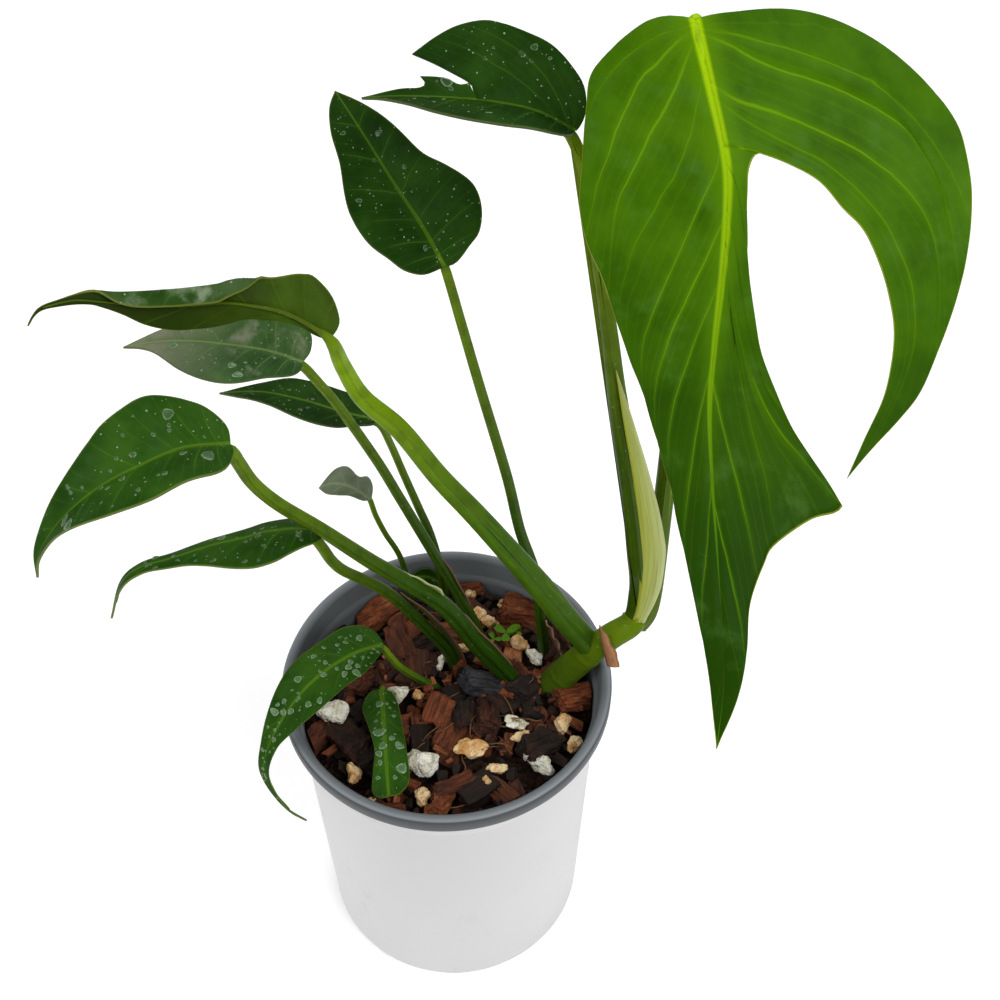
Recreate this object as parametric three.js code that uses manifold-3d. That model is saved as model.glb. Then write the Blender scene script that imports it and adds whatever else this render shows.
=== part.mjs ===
// A potted climbing aroid: one large split leaf, eleven smaller leaves and a short stem in a mix of bark
// and pumice. Millimetres, +Z up. The origin is the centre of the pot's underside. The large leaf hangs
// towards -Y, and the side leaves reach towards -X.
import * as THREE from "three";
import { mergeVertices } from "three/addons/utils/BufferGeometryUtils.js";
import Module from "manifold-3d";

const wasm = await Module();
wasm.setup();

// Driving dimensions of the pot
const RIM_RADIUS = 64;
const POT_HEIGHT = 150;
const WALL_TOP_RADIUS = 58.9;
const WALL_FOOT_RADIUS = 55.9;
const FOOT_RADIUS = 55;
const FOOT_HEIGHT = 3;
const WALL = 1.4;
const LIP_HEIGHT = 7;
const LEDGE_BELOW_RIM = 13;
const FLOOR = 4.6;
const PAD_RADIUS = 12;
const POT_SIDES = 56;
const NOTCH_COUNT = 8;
const NOTCH_TURN = 13;
const NOTCH_WIDTH = 9;
const NOTCH_HEIGHT = 3;

// Driving dimensions of the potting mix
const MIX_HEIGHT = 131;
const MIX_CHIPS = 84;
const CHIP_LENGTH = [9, 17];
const CHIP_WIDTH = [6, 10];
const CHIP_DEPTH = [5, 8];
const CHIP_SUNK = 0.35;
const STONE_REACH = 50;

// Clearance between pieces that touch, and the least thickness of a blade
const GAP = 0.3;
const BLADE = 0.8;

// How far a petiole runs on along its midrib, as a share of the blade's length
const PETIOLE_REACH = 0.1;

// Places of the pumice stones on the mix: x, y, length, width
const PUMICE = [
  [-45, -6, 15, 12],
  [-8, -30, 15, 12],
  [-21, 1, 13, 9],
  [24, -9, 14, 7],
  [29, -31, 17, 10],
  [9, -24, 14, 9],
  [-10, -43, 9, 7],
  [-33, -35, 9, 8],
  [43, -10, 9, 7],
  [46, -20, 8, 7],
  [27, -17, 9, 7],
  [19, -31, 9, 8],
  [12, 41, 11, 8],
  [-8, 30, 10, 7],
  [33, 34, 10, 8],
  [2, 47, 9, 7],
];

// Each leaf: a petiole from the mix or the stem to the blade, then the blade along its midrib.
// near and far are the blade's halves: a direction across the blade, and its edge as [along, out] points.
// A split half has several curves that meet in points.
const LEAVES = {
  leaf_split_large: {
    petiole: [
      [78, 14, 178], [79, 22, 215], [80, 30, 253], [80, 39, 303], [80, 43, 349], [79, 41, 379],
      [76, 34, 396], [71, 24, 403],
    ],
    radius: [3.6, 3.4, 3, 2.6],
    midrib: [
      [71, 25, 404], [76, 16, 389], [80, 4, 376], [80, -7, 368], [78, -23, 358], [75, -41, 349],
      [73, -60, 339], [74, -97, 318], [75, -111, 304], [74, -121, 287],
    ],
    rib: 1.6,
    step: 7.5,
    near: {
      across: [0.98, -0.02, -0.21],
      edge: [
        [
          [0, 0], [-5, 11], [-9, 25], [-11, 40], [-9, 50], [-4, 58], [2, 65], [9, 69], [17, 71],
          [28, 71], [40, 69], [57, 66], [73, 62], [89, 57], [99, 51], [110, 42], [117.5, 36],
        ],
        [
          [117.5, 36], [107, 41], [95, 46], [84, 48], [74, 48], [65, 46], [57, 43], [48, 38], [43, 32],
          [37, 26], [34, 18], [33, 12], [36, 7], [41, 5.5], [52, 5.3], [67, 7], [79, 10], [89, 13],
          [99, 18], [107, 22], [113, 26], [120, 31], [125, 34],
        ],
        [
          [125, 34], [127, 32], [130, 25], [138, 15], [143, 12], [154, 7.4], [166, 5.7], [178, 3.3],
          [192, 0],
        ],
      ],
    },
    far: {
      across: [-0.97, 0.25, -0.05],
      edge: [[
        [0, 0], [0, 5], [1, 12], [6, 20], [11, 26], [17, 32], [25, 35], [33, 37.5], [42, 39], [54, 39],
        [64, 36], [73, 31], [84, 26], [95, 21], [106, 16], [127, 10.6], [138, 9], [156, 6], [170, 4],
        [192, 0],
      ]],
    },
  },
  leaf_split_small: {
    petiole: [
      [72, 11, 171], [73, 13, 198], [67, 16, 237], [60, 20, 271], [55, 24, 302], [50, 29, 329],
      [46, 33, 351], [42, 37, 363],
    ],
    radius: [5.6, 4.4, 3, 2.2, 1.9],
    midrib: [[42, 38, 364], [32, 41, 368], [22, 44, 369], [9, 47, 369], [-6, 50, 368], [-20, 53, 366]],
    rib: 0.8,
    step: 5,
    near: {
      across: [-0.06, -0.9, 0.42],
      edge: [[[0, 0], [1, 6], [5, 12], [11, 17], [20, 20], [30, 19], [40, 15], [50, 8], [58, 3], [65, 0]]],
    },
    far: {
      across: [0.15, 0.81, 0.57],
      edge: [
        [
          [0, 0], [-2, 5], [-2, 10], [0, 15], [5, 18.5], [11, 21], [18, 22.5], [26, 24.2], [32, 24.5],
          [39, 22.6], [45, 19], [51.5, 13.2],
        ],
        [[51.5, 13.2], [45, 10.6], [39, 7.9], [33, 5], [36, 4.3], [41, 6], [48, 6.4]],
        [[48, 6.4], [46, 4], [48, 2.6], [54, 2.2], [65, 0]],
      ],
    },
  },
  leaf_tall_middle: {
    petiole: [
      [40, 21, 118], [37, 22, 153], [34, 24, 182], [28, 27, 204], [23, 31, 229], [14, 36, 266],
      [8, 40, 291], [3, 42, 312],
    ],
    radius: [2.4, 2, 1.6],
    midrib: [[3, 42, 313], [-4, 52, 321], [-14, 66, 329], [-24, 80, 338], [-33, 93, 345]],
    rib: 0.7,
    step: 5.5,
    near: {
      across: [-0.83, -0.52, -0.2],
      edge: [[
        [0, 0], [1, 7], [5, 12], [11, 15], [19, 18], [29, 18], [37, 16], [47, 12], [58, 9], [66, 5],
        [71, 0],
      ]],
    },
    far: {
      across: [0.83, 0.24, 0.51],
      edge: [[
        [0, 0], [-1, 4], [1, 10], [3, 15], [8, 19], [15, 21], [21, 20], [28, 17], [36, 13], [49, 10],
        [60, 6], [71, 0],
      ]],
    },
  },
  leaf_long_left: {
    petiole: [
      [54, 6, 163], [45, 7, 177], [36, 8, 193], [14, 10, 228], [0, 11, 249], [-12, 12, 270],
      [-23, 12, 284], [-28, 11, 298], [-31, 10, 309],
    ],
    radius: [5.2, 4.4, 3.7, 3.2, 2.8],
    midrib: [
      [-31, 10, 310], [-36, 11, 314], [-42, 11, 319], [-50, 10, 322], [-57, 9, 325], [-67, 8, 325],
      [-77, 6, 326], [-89, 3, 329], [-98, 0, 333], [-105, -3, 334], [-110, -5, 333], [-114, -7, 328],
    ],
    rib: 0.9,
    step: 5.5,
    flip: true,
    near: {
      across: [0.09, -0.29, -0.95],
      edge: [[
        [0, 0], [5, 2], [13, 3], [25, 4], [33, 6.4], [40, 7.4], [50, 7.5], [58, 6], [64, 3], [70, 1.6],
        [80, 1], [93, 0],
      ]],
    },
    far: {
      across: [-0.11, 0.6, 0.79],
      edge: [[
        [0, 0], [-4, 6], [-5, 10], [-3, 15], [3, 17], [8, 15], [15, 11], [24, 7], [35, 4], [51, 3.2],
        [66, 1.8], [80, 1], [93, 0],
      ]],
    },
  },
  leaf_pale_left: {
    petiole: [
      [16, 28, 118], [10, 30, 144], [3, 33, 161], [-7, 36, 185], [-17, 38, 210], [-24, 39, 228],
      [-35, 38, 255], [-41, 36, 269], [-45, 34, 279],
    ],
    radius: [2.4, 2, 1.7],
    midrib: [
      [-45, 34, 280], [-56, 36, 283], [-69, 38, 284], [-83, 40, 284], [-96, 43, 281], [-108, 45, 277],
    ],
    rib: 0.6,
    step: 5.5,
    near: {
      across: [-0.08, -1, -0.05],
      edge: [[[0, 0], [0, 4], [3, 8], [10, 12], [20, 17], [30, 17], [40, 13], [50, 6], [57, 2.5], [65, 0]]],
    },
    far: {
      across: [0.1, 0.92, 0.39],
      edge: [[[0, 0], [-2, 5], [-1, 11], [5, 15], [15, 15], [25, 13], [37, 9], [49, 5], [58, 2], [65, 0]]],
    },
  },
  leaf_narrow_back: {
    petiole: [
      [-2, 52, 118], [-4, 50, 153], [-7, 49, 176], [-11, 49, 192], [-16, 50, 210], [-20, 50, 226],
      [-23, 48, 239],
    ],
    radius: [2, 1.7, 1.4],
    midrib: [[-23, 48, 240], [-36, 51, 241], [-50, 55, 243], [-67, 60, 243], [-85, 66, 237]],
    rib: 0.6,
    step: 5.5,
    near: {
      across: [-0.14, -0.96, 0.22],
      edge: [[[0, 0], [2, 4], [8, 7], [15, 11], [26, 12], [40, 8], [55, 4], [65, 0]]],
    },
    far: {
      across: [0.16, 0.98, -0.14],
      edge: [[[0, 0], [-2, 5], [1, 10], [8, 12], [18, 12], [30, 12], [38, 11], [47, 6], [58, 2], [65, 0]]],
    },
  },
  leaf_wide_left: {
    petiole: [
      [30, 9, 118], [24, 9, 136], [11, 9, 159], [0, 6, 185], [-14, 2, 205], [-25, -2, 221],
      [-39, -8, 244], [-49, -12, 259], [-54, -14, 268], [-57, -15, 275], [-59, -16, 283],
      [-60, -17, 291],
    ],
    radius: [4.2, 3.8, 3, 2.4, 2.2],
    midrib: [
      [-60, -17, 292], [-72, -24, 297], [-83, -31, 297], [-95, -36, 293], [-107, -40, 284],
      [-116, -43, 272], [-119, -45, 262],
    ],
    rib: 0.8,
    step: 5.5,
    near: {
      across: [0.35, -0.92, 0.19],
      edge: [[
        [0, 0], [0, 5], [3, 12], [8, 16], [16, 17], [28, 18], [41, 15], [55, 8], [64, 4], [74, 2],
        [82, 0],
      ]],
    },
    far: {
      across: [-0.53, 0.77, 0.36],
      edge: [[
        [0, 0], [-2, 7], [1, 14], [6, 17], [12, 19], [18, 20], [25, 19], [32, 17], [38, 14], [45, 11],
        [54, 8], [64, 5], [74, 2.4], [82, 0],
      ]],
    },
  },
  leaf_low_left: {
    petiole: [
      [6, 16, 118], [0, 16, 143], [-9, 14, 163], [-17, 11, 181], [-23, 8, 193], [-29, 5, 202],
      [-35, 1, 212], [-38, -2, 221], [-40, -4, 230], [-41, -6, 239],
    ],
    radius: [2.8, 2.3, 1.9],
    midrib: [
      [-41, -6, 240], [-45, -8, 244], [-55, -11, 246], [-63, -12, 244], [-75, -14, 242],
      [-88, -16, 238], [-98, -18, 236], [-105, -21, 231], [-111, -24, 216],
    ],
    rib: 0.6,
    step: 5,
    near: {
      across: [0.18, -0.97, 0.14],
      edge: [[
        [0, 0], [-2, 3], [2, 7], [10, 12], [16, 15.6], [22, 16], [30, 13.5], [39, 9], [47, 5.5],
        [56, 4], [64, 3.5], [72, 3], [80, 1.5], [87, 0],
      ]],
    },
    far: {
      across: [-0.2, 0.9, -0.4],
      edge: [[[0, 0], [-4, 5], [2, 8], [10, 8], [17, 7], [25, 6], [34, 5], [52, 4], [68, 2.5], [87, 0]]],
    },
  },
  leaf_young_grey: {
    petiole: [
      [-14, 49, 118], [-17, 49, 142], [-20, 49, 163], [-25, 49, 177], [-28, 48, 189], [-29, 47, 198],
    ],
    radius: [1.3, 1.1],
    midrib: [[-29, 47, 199], [-36, 48, 205], [-43, 50, 205], [-50, 53, 199]],
    rib: 0.3,
    step: 4,
    near: {
      across: [-0.25, -0.71, -0.66],
      edge: [[[0, 0], [4, 2.5], [9, 3.4], [14, 4.6], [19, 4], [26, 0]]],
    },
    far: {
      across: [0.25, 0.71, 0.66],
      edge: [[[0, 0], [1, 5], [4, 7], [8, 5], [13, 7], [18, 5.5], [26, 0]]],
    },
  },
  leaf_over_rim: {
    petiole: [[-1, 9, 118], [-5, 7, 131], [-12, 6, 139], [-19, 6, 147], [-23, 8, 152], [-25, 10, 155]],
    radius: [1.8, 1.5],
    midrib: [
      [-25, 10, 156], [-36, -1, 164], [-48, -15, 168], [-57, -27, 165], [-64, -35, 155],
      [-67, -39, 141], [-61, -44, 127], [-53, -45, 117],
    ],
    rib: 0.5,
    step: 5,
    near: {
      across: [0.78, -0.57, -0.25],
      edge: [[
        [0, 0], [2, 2], [8, 5], [19, 9], [29, 9.6], [42, 9.5], [53, 7], [65, 3.5], [74, 2.7],
        [85, 2.2], [97, 1.5], [110, 0],
      ]],
    },
    far: {
      across: [-0.78, 0.57, 0.25],
      edge: [[
        [0, 0], [-3, 7], [0, 12], [8, 13], [21, 11], [33, 10.5], [41, 9.7], [49, 8.2], [59, 5.5],
        [70, 3], [80, 2.2], [92, 1.6], [110, 0],
      ]],
    },
  },
  leaf_on_mix: {
    petiole: [[-27, 11, 120], [-27, 7, 130], [-26, 3, 136], [-26, 0, 139]],
    radius: [1.4, 1.2],
    midrib: [[-26, 0, 140], [-24, -16, 144], [-22, -33, 147], [-20, -50, 143]],
    rib: 0.3,
    step: 5,
    near: {
      across: [0.95, 0.1, -0.2],
      edge: [[[0, 0], [2, 4], [9, 6], [21, 7], [34, 8], [45, 8], [51, 4], [51, 0]]],
    },
    far: {
      across: [-0.95, -0.1, -0.2],
      edge: [[[0, 0], [1, 5], [9, 8], [20, 6], [32, 4], [40, 5], [48, 6], [51, 3], [51, 0]]],
    },
  },
  leaf_back_small: {
    petiole: [[0, 55, 120], [-2, 56, 130], [-3, 56, 134], [-5, 56, 137]],
    radius: [1, 0.9],
    midrib: [[-5, 56, 138], [-10, 56, 142], [-15, 55, 143], [-20, 53, 141]],
    rib: 0.2,
    step: 3,
    near: {
      across: [-0.25, -0.71, -0.3],
      edge: [[[0, 0], [3, 3], [8, 4], [12, 3], [17, 0]]],
    },
    far: {
      across: [0.25, 0.3, 0.8],
      edge: [[[0, 0], [3, 3.4], [8, 4], [12, 3], [17, 0]]],
    },
  },
};

const STEM = {
  path: [
    [28, 12, 112], [36, 10, 120], [47, 8, 141], [57, 5, 160], [63, 5, 168], [70, 8, 171],
    [72, 10, 174],
  ],
  radius: [6, 6.4, 6, 5.2, 4.6],
};
const AERIAL_ROOT = { path: [[45, 5, 134], [46, 1, 131], [45, -1, 124]], radius: [1.7, 1.3] };
const DRY_SHEATH = {
  path: [[62, 1, 178], [61, 0.5, 172], [59, -0.5, 165], [57, -2, 157]],
  radius: [0.6, 2.6, 3, 0.7],
};
const SEEDLING = {
  path: [[23, 31, 118], [23, 31, 131], [23, 30, 137]],
  radius: [0.9, 0.8],
  leaflets: 3,
  length: 6,
};

// A seeded random number in a range
let seed = 7;
function random(low, high) {
  seed = (seed + 0x6d2b79f5) | 0;
  let t = Math.imul(seed ^ (seed >>> 15), 1 | seed);
  t = (t + Math.imul(t ^ (t >>> 7), 61 | t)) ^ t;
  return low + ((high - low) * ((t ^ (t >>> 14)) >>> 0)) / 4294967296;
}

function vector(p) {
  return new THREE.Vector3(...p);
}

// A three.js geometry as a closed solid, turned so that its faces point outwards
function solid(geometry) {
  const bare = new THREE.BufferGeometry();
  const loose = geometry.index ? geometry.toNonIndexed() : geometry;
  bare.setAttribute("position", loose.getAttribute("position"));
  const merged = mergeVertices(bare, 1e-3);
  const vertProperties = merged.attributes.position.array;
  const triVerts = new Uint32Array(merged.index.array);
  const made = new wasm.Manifold(new wasm.Mesh({ numProp: 3, vertProperties, triVerts }));
  if (made.volume() > 0) return made;
  return new wasm.Manifold(new wasm.Mesh({ numProp: 3, vertProperties, triVerts: triVerts.reverse() }));
}

// The largest body of a solid, as a geometry again
function geometryOf(made) {
  const bodies = made.decompose().sort((a, b) => b.volume() - a.volume());
  const mesh = bodies[0].getMesh();
  const geometry = new THREE.BufferGeometry();
  geometry.setAttribute("position", new THREE.BufferAttribute(mesh.vertProperties, 3));
  geometry.setIndex(new THREE.BufferAttribute(mesh.triVerts, 1));
  geometry.computeVertexNormals();
  return geometry;
}

// A value from a list spread evenly over 0 to 1
function along(list, u) {
  const at = u * (list.length - 1);
  const i = Math.min(Math.floor(at), list.length - 2);
  return list[i] + (list[i + 1] - list[i]) * (at - i);
}

// A round, tapering shoot along a curve: a cylinder bent to it
function shoot({ path, radius }, grow = 0, sides = 8) {
  const curve = new THREE.CatmullRomCurve3(path.map(vector), false, "centripetal");
  const steps = Math.max(4, Math.round(curve.getLength() / 12));
  const frames = curve.computeFrenetFrames(steps);
  const geometry = new THREE.CylinderGeometry(1, 1, 1, sides, steps);
  const position = geometry.attributes.position;
  for (let i = 0; i < position.count; i++) {
    const step = Math.round((0.5 - position.getY(i)) * steps);
    const r = along(radius, step / steps) + grow;
    const p = curve.getPointAt(step / steps);
    p.addScaledVector(frames.normals[step], position.getX(i) * r);
    p.addScaledVector(frames.binormals[step], position.getZ(i) * -r);
    p.addScaledVector(frames.tangents[step], step === 0 ? -grow : step === steps ? grow : 0);
    position.setXYZ(i, p.x, p.y, p.z);
  }
  return solid(geometry);
}

// Points along a half's edge curves, about one step apart, from base to tip
function edgePoints(curves, sign, step) {
  const points = [];
  for (const curve of curves) {
    const line = new THREE.SplineCurve(curve.map(([s, w]) => new THREE.Vector2(s, w * sign)));
    const count = Math.max(2, Math.round(line.getLength() / step));
    points.push(...line.getSpacedPoints(count).slice(points.length ? 1 : 0));
  }
  return points;
}

function isInside(p, outline) {
  let inside = false;
  outline.forEach((a, i) => {
    const b = outline[(i + 1) % outline.length];
    const crosses = a.y > p.y !== b.y > p.y;
    if (crosses && p.x < ((b.x - a.x) * (p.y - a.y)) / (b.y - a.y) + a.x) inside = !inside;
  });
  return inside;
}

// The circle through three points, to test which triangles a new point breaks
function circle(a, b, c) {
  const d = 2 * (a.x * (b.y - c.y) + b.x * (c.y - a.y) + c.x * (a.y - b.y));
  const [aa, bb, cc] = [a.lengthSq(), b.lengthSq(), c.lengthSq()];
  const x = (aa * (b.y - c.y) + bb * (c.y - a.y) + cc * (a.y - b.y)) / d;
  const y = (aa * (c.x - b.x) + bb * (a.x - c.x) + cc * (b.x - a.x)) / d;
  return { x, y, r2: (a.x - x) ** 2 + (a.y - y) ** 2 };
}

// Delaunay triangles of a set of points, by adding one point at a time
function triangulate(points) {
  const far = 1e4;
  const outer = [[-far, -far], [far, -far], [0, far]].map(([x, y]) => new THREE.Vector2(x, y));
  const all = [...points, ...outer];
  const n = points.length;
  let triangles = [[n, n + 1, n + 2]];
  const circles = new Map([[triangles[0], circle(all[n], all[n + 1], all[n + 2])]]);
  for (let i = 0; i < n; i++) {
    const p = all[i];
    const edges = new Map();
    triangles = triangles.filter((t) => {
      const c = circles.get(t);
      if ((p.x - c.x) ** 2 + (p.y - c.y) ** 2 >= c.r2 - 1e-9) return true;
      for (const [a, b] of [[t[0], t[1]], [t[1], t[2]], [t[2], t[0]]]) {
        const other = b + "," + a;
        if (!edges.delete(other)) edges.set(a + "," + b, [a, b]);
      }
      return false;
    });
    for (const [a, b] of edges.values()) {
      const t = [a, b, i];
      circles.set(t, circle(all[a], all[b], all[i]));
      triangles.push(t);
    }
  }
  return triangles.filter((t) => t.every((k) => k < n));
}

// A leaf blade: its flat outline is filled with triangles, bent along the midrib and given a thickness.
function blade(leaf, grow = 0) {
  const midrib = new THREE.CatmullRomCurve3(leaf.midrib.map(vector), false, "centripetal");
  const length = midrib.getLength();
  const nearEdge = edgePoints(leaf.near.edge, 1, leaf.step * 0.8);
  const farEdge = edgePoints(leaf.far.edge, -1, leaf.step * 0.8);
  const outline = [...nearEdge, ...farEdge.slice(1, -1).reverse()];
  const points = [...outline];
  const clear = (p, d) => points.every((q) => q.distanceTo(p) > d);
  for (let s = leaf.step * 0.6; s < length - leaf.step * 0.5; s += leaf.step * 0.7) {
    const p = new THREE.Vector2(s, 0);
    if (isInside(p, outline) && clear(p, leaf.step * 0.3)) points.push(p);
  }
  const reach = Math.ceil(length / leaf.step) + 2;
  for (let i = -3; i < reach; i++) {
    for (let j = -reach; j < reach; j++) {
      const p = new THREE.Vector2((i + (j % 2) * 0.5) * leaf.step, j * leaf.step * 0.87 + 0.01 * i);
      if (isInside(p, outline) && clear(p, leaf.step * 0.55)) points.push(p);
    }
  }
  const triangles = triangulate(points).filter(([a, b, c]) => {
    const middle = new THREE.Vector2().add(points[a]).add(points[b]).add(points[c]).divideScalar(3);
    return isInside(middle, outline);
  });
  const near = vector(leaf.near.across).normalize();
  const far = vector(leaf.far.across).normalize();
  const sides = [[], []];
  for (const p of points) {
    const u = THREE.MathUtils.clamp(p.x / length, 0, 1);
    const tangent = midrib.getTangentAt(u);
    const at = midrib.getPointAt(u).addScaledVector(tangent, p.x - u * length);
    at.addScaledVector(p.y > 0 ? near : far, Math.abs(p.y));
    const across = p.y > 0.01 ? near : p.y < -0.01 ? far.clone().negate() : near.clone().sub(far);
    const normal = new THREE.Vector3().crossVectors(tangent, across).normalize();
    const rib = leaf.rib * (1 - 0.8 * u) * Math.exp(-((p.y / 3) ** 2));
    const up = leaf.flip ? BLADE / 2 + rib : BLADE / 2;
    const down = leaf.flip ? BLADE / 2 : BLADE / 2 + rib;
    sides[0].push(at.clone().addScaledVector(normal, up + grow));
    sides[1].push(at.clone().addScaledVector(normal, -down - grow));
  }
  const corners = [];
  const face = (a, b, c) => corners.push(a, b, c);
  const rim = new Map();
  for (const [a, b, c] of triangles) {
    face(sides[0][a], sides[0][b], sides[0][c]);
    face(sides[1][c], sides[1][b], sides[1][a]);
    for (const [p, q] of [[a, b], [b, c], [c, a]]) {
      if (!rim.delete(q + "," + p)) rim.set(p + "," + q, [p, q]);
    }
  }
  for (const [p, q] of rim.values()) {
    face(sides[0][q], sides[0][p], sides[1][p]);
    face(sides[0][q], sides[1][p], sides[1][q]);
  }
  return solid(new THREE.BufferGeometry().setFromPoints(corners));
}

// A whole leaf: the petiole runs a little way on under the midrib, so that the two grow together.
function leafSolid(leaf, grow = 0) {
  const midrib = new THREE.CatmullRomCurve3(leaf.midrib.map(vector), false, "centripetal");
  const under = midrib.getPointAt(PETIOLE_REACH).toArray();
  const petiole = { path: [...leaf.petiole, under], radius: [...leaf.radius, leaf.rib + 0.5] };
  return shoot(petiole, grow).add(blade(leaf, grow));
}

// A lathe profile turned about Z
function turnedProfile(profile, sides) {
  const points = profile.map(([r, z]) => new THREE.Vector2(r, z));
  return solid(new THREE.LatheGeometry(points, sides).rotateX(Math.PI / 2));
}

function potSolid() {
  const ledge = POT_HEIGHT - LEDGE_BELOW_RIM;
  const lip = POT_HEIGHT - LIP_HEIGHT;
  const pot = turnedProfile(
    [
      [0, 0],
      [PAD_RADIUS, 0],
      [PAD_RADIUS + 1, FLOOR - 2],
      [FOOT_RADIUS - 6, FLOOR - 2],
      [FOOT_RADIUS - 5, 0],
      [FOOT_RADIUS, 0],
      [FOOT_RADIUS + 0.2, FOOT_HEIGHT],
      [WALL_FOOT_RADIUS, FOOT_HEIGHT + 0.6],
      [WALL_TOP_RADIUS, ledge],
      [WALL_TOP_RADIUS + 1.4, ledge + 1.5],
      [WALL_TOP_RADIUS + 1.7, lip],
      [RIM_RADIUS - 0.8, lip],
      [RIM_RADIUS, lip + 1],
      [RIM_RADIUS, POT_HEIGHT - 1.5],
      [RIM_RADIUS - 1.5, POT_HEIGHT],
      [WALL_TOP_RADIUS + 2, POT_HEIGHT],
      [WALL_TOP_RADIUS + 0.6, POT_HEIGHT - 1.5],
      [WALL_TOP_RADIUS - 0.2, ledge + 2],
      [WALL_TOP_RADIUS - WALL, ledge],
      [WALL_FOOT_RADIUS - WALL, FOOT_HEIGHT + 5],
      [FOOT_RADIUS - 3, FLOOR],
      [0, FLOOR],
    ],
    POT_SIDES,
  );
  let notches = null;
  for (let i = 0; i < NOTCH_COUNT; i++) {
    const box = new THREE.BoxGeometry(NOTCH_WIDTH, 16, NOTCH_HEIGHT * 2);
    box.translate(0, -FOOT_RADIUS, 0);
    box.rotateZ(THREE.MathUtils.degToRad(NOTCH_TURN + (i * 360) / NOTCH_COUNT));
    notches = notches ? notches.add(solid(box)) : solid(box);
  }
  const holes = new THREE.CylinderGeometry(4, 4, FLOOR * 3, 12).rotateX(Math.PI / 2);
  let drains = null;
  for (let i = 0; i < NOTCH_COUNT / 2; i++) {
    const hole = holes.clone().translate(0, 30, 0);
    hole.rotateZ((i * 2 * Math.PI) / (NOTCH_COUNT / 2));
    drains = drains ? drains.add(solid(hole)) : solid(hole);
  }
  return pot.subtract(notches).subtract(drains);
}

// A jagged chip of bark or a lump of pumice, sunk into the mix at x, y
function chip(x, y, size, round, sunk) {
  const [length, width, depth] = size;
  const geometry = round ? new THREE.IcosahedronGeometry(0.56, 0) : new THREE.BoxGeometry(1, 1, 1);
  const bare = new THREE.BufferGeometry();
  bare.setAttribute("position", (geometry.index ? geometry.toNonIndexed() : geometry).attributes.position);
  const merged = mergeVertices(bare, 1e-3);
  const position = merged.attributes.position;
  for (let i = 0; i < position.count; i++) {
    const shift = () => random(-0.12, 0.12);
    position.setXYZ(i, position.getX(i) + shift(), position.getY(i) + shift(), position.getZ(i) + shift());
  }
  merged.scale(length, width, depth);
  merged.rotateX(random(-0.35, 0.35)).rotateY(random(-0.35, 0.35)).rotateZ(random(0, 2 * Math.PI));
  merged.translate(x, y, MIX_HEIGHT + depth * sunk);
  return solid(merged);
}

// What fits in the pot up to a height, clear of its wall
function potFilling(height) {
  const top = WALL_TOP_RADIUS - WALL - GAP;
  const foot = WALL_FOOT_RADIUS - WALL - GAP;
  const radius = THREE.MathUtils.lerp(foot, top, height / (POT_HEIGHT - LEDGE_BELOW_RIM));
  return turnedProfile(
    [
      [0, FLOOR + GAP],
      [FOOT_RADIUS - 4, FLOOR + GAP],
      [foot - 0.2, FOOT_HEIGHT + 5.5],
      [Math.min(radius, top), height],
      [0, height],
    ],
    POT_SIDES,
  );
}

function mixSolid(standing) {
  let mix = potFilling(MIX_HEIGHT);
  const golden = Math.PI * (3 - Math.sqrt(5));
  for (let i = 0; i < MIX_CHIPS; i++) {
    const r = STONE_REACH * Math.sqrt((i + 0.5) / MIX_CHIPS);
    const x = r * Math.cos(i * golden) + random(-2, 2);
    const y = r * Math.sin(i * golden) + random(-2, 2);
    const size = [random(...CHIP_LENGTH), random(...CHIP_WIDTH), random(...CHIP_DEPTH)];
    const crowded = PUMICE.some(([px, py]) => Math.hypot(px - x, py - y) < 8);
    const piece = chip(x, y, size, false, CHIP_SUNK * random(0, 1));
    if (!crowded) mix = mix.add(piece);
  }
  for (const [x, y, length, width] of PUMICE) {
    mix = mix.add(chip(x, y, [length, width, width * 0.8], true, CHIP_SUNK));
  }
  mix = mix.intersect(potFilling(POT_HEIGHT));
  for (const stem of standing) mix = mix.subtract(stem);
  return mix;
}

function seedlingSolid() {
  let made = shoot(SEEDLING, 0, 6);
  const top = vector(SEEDLING.path.at(-1));
  for (let i = 0; i < SEEDLING.leaflets; i++) {
    const leaflet = new THREE.SphereGeometry(1, 8, 5).scale(SEEDLING.length / 2, 2.4, 0.5);
    leaflet.translate(SEEDLING.length / 2 - 0.5, 0, 0).rotateY(-0.3);
    leaflet.rotateZ((i * 2 * Math.PI) / SEEDLING.leaflets + 0.5).translate(top.x, top.y, top.z - 0.2);
    made = made.add(solid(leaflet));
  }
  return made;
}

const group = new THREE.Group();

function place(name, made, color, roughness) {
  const material = new THREE.MeshStandardMaterial({ color, roughness, metalness: 0 });
  const mesh = new THREE.Mesh(geometryOf(made), material);
  mesh.name = name;
  group.add(mesh);
}

const LEAF_COLORS = { leaf_split_large: 0x3f8f1e, leaf_young_grey: 0x6f7f6a, leaf_pale_left: 0x4f7350 };

const stem = shoot(STEM);
const stemRoom = shoot(STEM, GAP);
const root = shoot(AERIAL_ROOT, 0, 6);
const rootRoom = shoot(AERIAL_ROOT, GAP, 6);
const sheath = shoot(DRY_SHEATH, 0, 6);
const largeRoom = leafSolid(LEAVES.leaf_split_large, GAP);
const rooms = [];

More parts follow.
